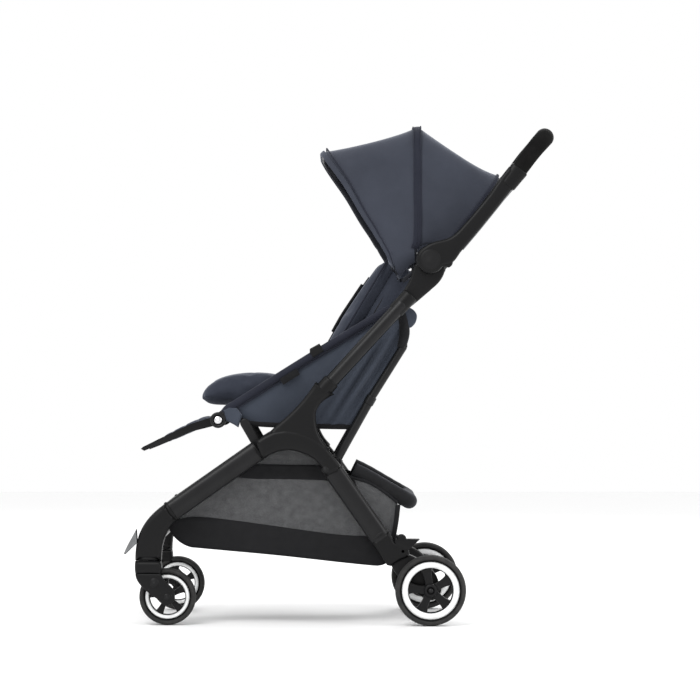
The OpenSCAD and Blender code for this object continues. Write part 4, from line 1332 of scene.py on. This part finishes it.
for s, tag in ((-1, "left"), (1, "right")):
    line = [on_pad(u, s * y, 1.0) for u, y in ((256, 40), (236, 42), (200, 44), (160, 46), (124, 48),
                                               (90, 49), (60, 50))]
    strap("shoulder_strap_" + tag, line, 12, 1.2, (0, 1, 0), "backrest")
    out = np.array([BACK_OUT[0], 0, BACK_OUT[1]])
    strap("shoulder_pad_" + tag, [p + out * 2.4 for p in line[1:5]], 20, 3.2, (0, 1, 0), "backrest",
          dark_cloth)
    strap("adjuster_" + tag, [on_pad(u, s * 49.5, 2.2) for u in (72, 78, 84)], 15, 2.6, (0, 1, 0), "backrest",
          moulding)
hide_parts("shoulder_straps")

# %% [markdown]
# The basket is an open net held by two black bands, one at the floor and one along the top, with a
# padded bar at the back. The net lies on the CAD basket's walls; its pattern is in the material.


# %% Basket
basket_top = smooth_path([(-338, 232), (-300, 258), (-240, 298), (-184, 337), (-150, 350), (-104, 356),
                          (-64, 346),
                          (-32, 322), (-6, 303), (30, 293), (60, 284), (92, 264), (118, 243)], 110)
basket_low = smooth_path([(-342, 190), (-330, 172), (-309, 158), (-270, 153), (-120, 138), (40, 121),
                          (84, 118),
                          (100, 128), (108, 160), (117, 205)], 110)


def lay_net(obj, across, along):
    """Gives a grid its map in metres, on which the net's pattern runs."""
    layer = obj.data.uv_layers.new(name="net")
    corner = np.empty(len(obj.data.loops), int)
    obj.data.loops.foreach_get("vertex_index", corner)
    layer.data.foreach_set("uv", np.stack([across, along], -1).reshape(-1, 2)[corner].ravel())


def basket_wall(s, top, low, name, belly=4.0):
    """One side of the basket, a grid from its upper edge to its lower edge."""
    v = np.linspace(0, 1, 30)[:, None, None]
    grid = top[None] * (1 - v) + low[None] * v
    vv = v[..., 0]
    u = np.linspace(0, 1, len(top))[None]
    bulge = belly * np.sin(np.pi * vv) * np.sin(np.pi * u) * 0.35
    y = 154.6 + bulge - 1.4 * np.sin(5 * np.pi * u) * vv * (1 - vv)
    points = np.stack([grid[..., 0], s * (y + 0 * u), grid[..., 1]], -1) * MM
    obj = add_grid(name, points)
    lay_net(obj, points[..., 0], points[..., 2])
    return obj, flat_area(points)


walls = [basket_wall(s, basket_top, basket_low, "basket_net_" + tag) for s,
         tag in ((-1, "left"), (1, "right"))]


def cross_sheet(name, line, half_y, sag=3.0):
    """A sheet that spans from side to side along a side-view line."""
    line = smooth_path(line, 60)
    ys = np.linspace(-1, 1, 41)
    dip = sag * (1 - ys ** 2)
    tangent = np.gradient(line, axis=0)
    tangent /= np.linalg.norm(tangent, axis=1, keepdims=True)
    out = np.stack([tangent[:, 1], -tangent[:, 0]], 1)
    grid = line[:, None] + out[:, None] * dip[None, :, None] * np.sin(np.linspace(0, np.pi, 60))[:, None,
                                                                                                 None]
    points = np.stack([grid[..., 0], np.broadcast_to(ys * half_y, grid.shape[:2]), grid[..., 1]], -1) * MM
    obj = add_grid(name, points)
    step = np.r_[0, np.cumsum(np.linalg.norm(np.diff(line, axis=0), axis=1))] * MM
    lay_net(obj, points[..., 1], np.broadcast_to(step[:, None], grid.shape[:2]))
    return obj, flat_area(points)


front_net, front_area = cross_sheet("basket_net_front", [(-338, 230), (-341, 210), (-341, 190)], 154, 0)
back_net, back_area = cross_sheet("basket_net_back", [(100, 132), (108, 160), (115, 200), (119, 236)], 154, 0)
floor_cloth, floor_area = cross_sheet("basket_floor",
                                      [(-340, 190), (-330, 173), (-308, 159), (-260, 153), (-120, 139),
                                                       (60, 120), (88, 120), (100, 132)], 154, -2)
sheets = [(walls[0][0], walls[0][1], net), (walls[1][0], walls[1][1], net), (front_net, front_area, net),
          (back_net, back_area, net)]
for obj, area, material in sheets:
    finish_piece(obj, "chassis", material)
thicken(floor_cloth, 2.2)
finish_piece(floor_cloth, "chassis", dark_cloth, ["basket"])


def band_sheet(name, upper, lower, y, s, thick=1.8, ripple=0.6):
    """A strip of close cloth on the wall between two side-view lines."""
    upper, lower = smooth_path(upper, 90), smooth_path(lower, 90)
    v = np.linspace(0, 1, 8)[:, None, None]
    grid = upper[None] * (1 - v) + lower[None] * v
    u = np.linspace(0, 1, 90)[None]
    wave_y = y + ripple * np.sin(14 * np.pi * u) * np.sin(np.pi * v[..., 0])
    points = np.stack([grid[..., 0], s * (wave_y + 0 * grid[..., 0]), grid[..., 1]], -1) * MM
    obj = thicken(add_grid(name, points), thick, 0.0)
    return finish_piece(outward(obj), "chassis", dark_cloth)


for s, tag in ((-1, "left"), (1, "right")):
    band_sheet("basket_low_band_" + tag, [(-341, 206), (-288, 215), (-190, 205), (-18, 181), (60, 176),
                                          (108, 172)],
               [(-342, 188), (-325, 168), (-303, 155), (-270, 151), (-120, 137), (40, 119.5), (86, 117.5),
                (102, 132)],
               155.6, s)
    band_sheet("basket_top_band_" + tag, [(-206, 318), (-170, 321), (-100, 320), (-34, 318), (-4, 302),
                                          (30, 292)],
               [(-236, 299), (-176, 292), (-100, 291), (-20, 288), (4, 284), (36, 278)], 155.4, s)
    edge = sweep("basket_edge_" + tag, at_y(basket_top, s * 155.4) * MM,
                 2.6 * MM, 2.0 * MM, (0, 1, 0), 12)
    finish_piece(edge, "chassis", dark_cloth)
    back_edge = smooth_path([(119, 240), (115, 205), (107, 160), (100, 128)], 50)
    edge = sweep("basket_back_edge_" + tag, at_y(back_edge, s * 155.4) * MM,
                 5 * MM, 2.2 * MM, (0, 1, 0), 12, 3.0)
    finish_piece(edge, "chassis", dark_cloth)
    loops = []
    for x in (-200, -320):
        z = 348 + (x + 164) * 0.572 / 0.82
        loops.append(sweep("loop", rod_line(x, z, 154, 171, s) * MM,
                           6 * MM, 4 * MM, (0, 0, 1), 16))
    finish_piece(join("basket_loops_" + tag, loops), "chassis", dark_cloth)
print("basket areas", [round(a, 4) for _, a, _ in sheets], round(floor_area, 4))

# the padded bar at the back is one U-shaped roll with sewn rings
half = smooth_path([(30, 141, 308), (60, 141, 293), (110, 141, 264), (132, 139, 251.6), (142, 124, 246),
                    (142, 90, 246),
                    (142, 0, 246)], 70)
bar_path = np.vstack([half * [1, -1, 1], half[::-1][1:]])
steps = np.r_[0, np.cumsum(np.linalg.norm(np.diff(bar_path, axis=0), axis=1))]
plump = 15.8 + 0.15 * np.cos(2 * np.pi * steps / 22.0)
rear_roll = sweep("basket_rear_bar", bar_path * MM, plump * MM, plump * MM, (0.3, 0.2, 0.9), 36)
finish_piece(rear_roll, "chassis", dark_cloth, ["basket_rear_bar"])

# %% [markdown]
# ## Small plain parts
# Pins, boards and the leg rest's frame are right as the CAD drew them. They only need their finish,
# and where a hand would feel an edge, a small bevel.


# %% Finishes on the CAD's own parts
def dress(node, material, bevel=0.0):
    obj = nodes[node]
    obj.data.materials.clear()
    obj.data.materials.append(material)
    if bevel:
        modify(obj, "BEVEL", width=bevel * MM, segments=3, angle_limit=math.radians(40))


for node, material, bevel in (("fold_pins", steel, 0), ("brake_pin", steel, 0), ("strut_crossbar", paint, 0),
                              ("seat_board", moulding, 1.0), ("back_board", moulding, 1.2),
                              ("leg_rest_frame", moulding, 1.6), ("crotch_strap", webbing, 0),
                              ("buckle", moulding, 2.5), ("buckle_button", bumper_metal, 1.0)):
    dress(node, material, bevel)
for node in ("seat_board", "back_board", "leg_rest_frame", "buckle", "strut_crossbar"):
    print(node, len(nodes[node].data.polygons), "triangles")

# %% [markdown]
# ## Floor, light and camera
# A pale sweep of floor, one broad soft key light from above the camera's left, a fill and a soft
# light from behind give the even studio look. The long lens stands level with the seat.


# %% Stage
floor = add_mesh("floor", [(-6, -2.5, 0), (6, -2.5, 0), (6, 6, 0), (-6, 6, 0)], [[0, 1, 2, 3]])
floor_material, _, _ = new_material("studio_floor", (0.93, 0.93, 0.93), 0.7)
floor.data.materials.append(floor_material)

world = bpy.data.worlds.new("studio")
bpy.context.scene.world = world
world.use_nodes = True
world.node_tree.nodes["Background"].inputs["Color"].default_value = (1, 1, 1, 1)
world.node_tree.nodes["Background"].inputs["Strength"].default_value = 1.0


def area_light(name, at, target, size, power):
    """A square soft light at a place in metres, pointed at a target."""
    data = bpy.data.lights.new(name, "AREA")
    data.shape = "RECTANGLE"
    data.size, data.size_y = size
    data.energy = power
    lamp = bpy.data.objects.new(name, data)
    bpy.context.scene.collection.objects.link(lamp)
    lamp.location = at
    away = np.array(at, float) - np.array(target, float)
    lamp.rotation_euler = Vector(away).to_track_quat("Z", "Y").to_euler()
    return lamp


area_light("key", (-1.4, -2.2, 3.0), (0, 0, 0.5), (2.2, 2.2), 75)
area_light("side", (2.8, -1.4, 1.6), (0.1, 0, 0.6), (1.2, 2.0), 28)
area_light("rim", (0.6, 2.6, 2.4), (0, 0, 0.6), (2.4, 1.2), 40)

camera_data = bpy.data.cameras.new("camera")
camera = bpy.data.objects.new("camera", camera_data)
bpy.context.scene.collection.objects.link(camera)
camera.location = (0.002, -5.85, 0.511)
camera.rotation_euler = (math.pi / 2, 0, 0)
camera_data.sensor_width = 36
camera_data.lens = 145.3
camera_data.shift_x = 10 / 700
camera_data.shift_y = 20 / 700
bpy.context.scene.camera = camera
bpy.context.scene.view_settings.view_transform = "Standard"
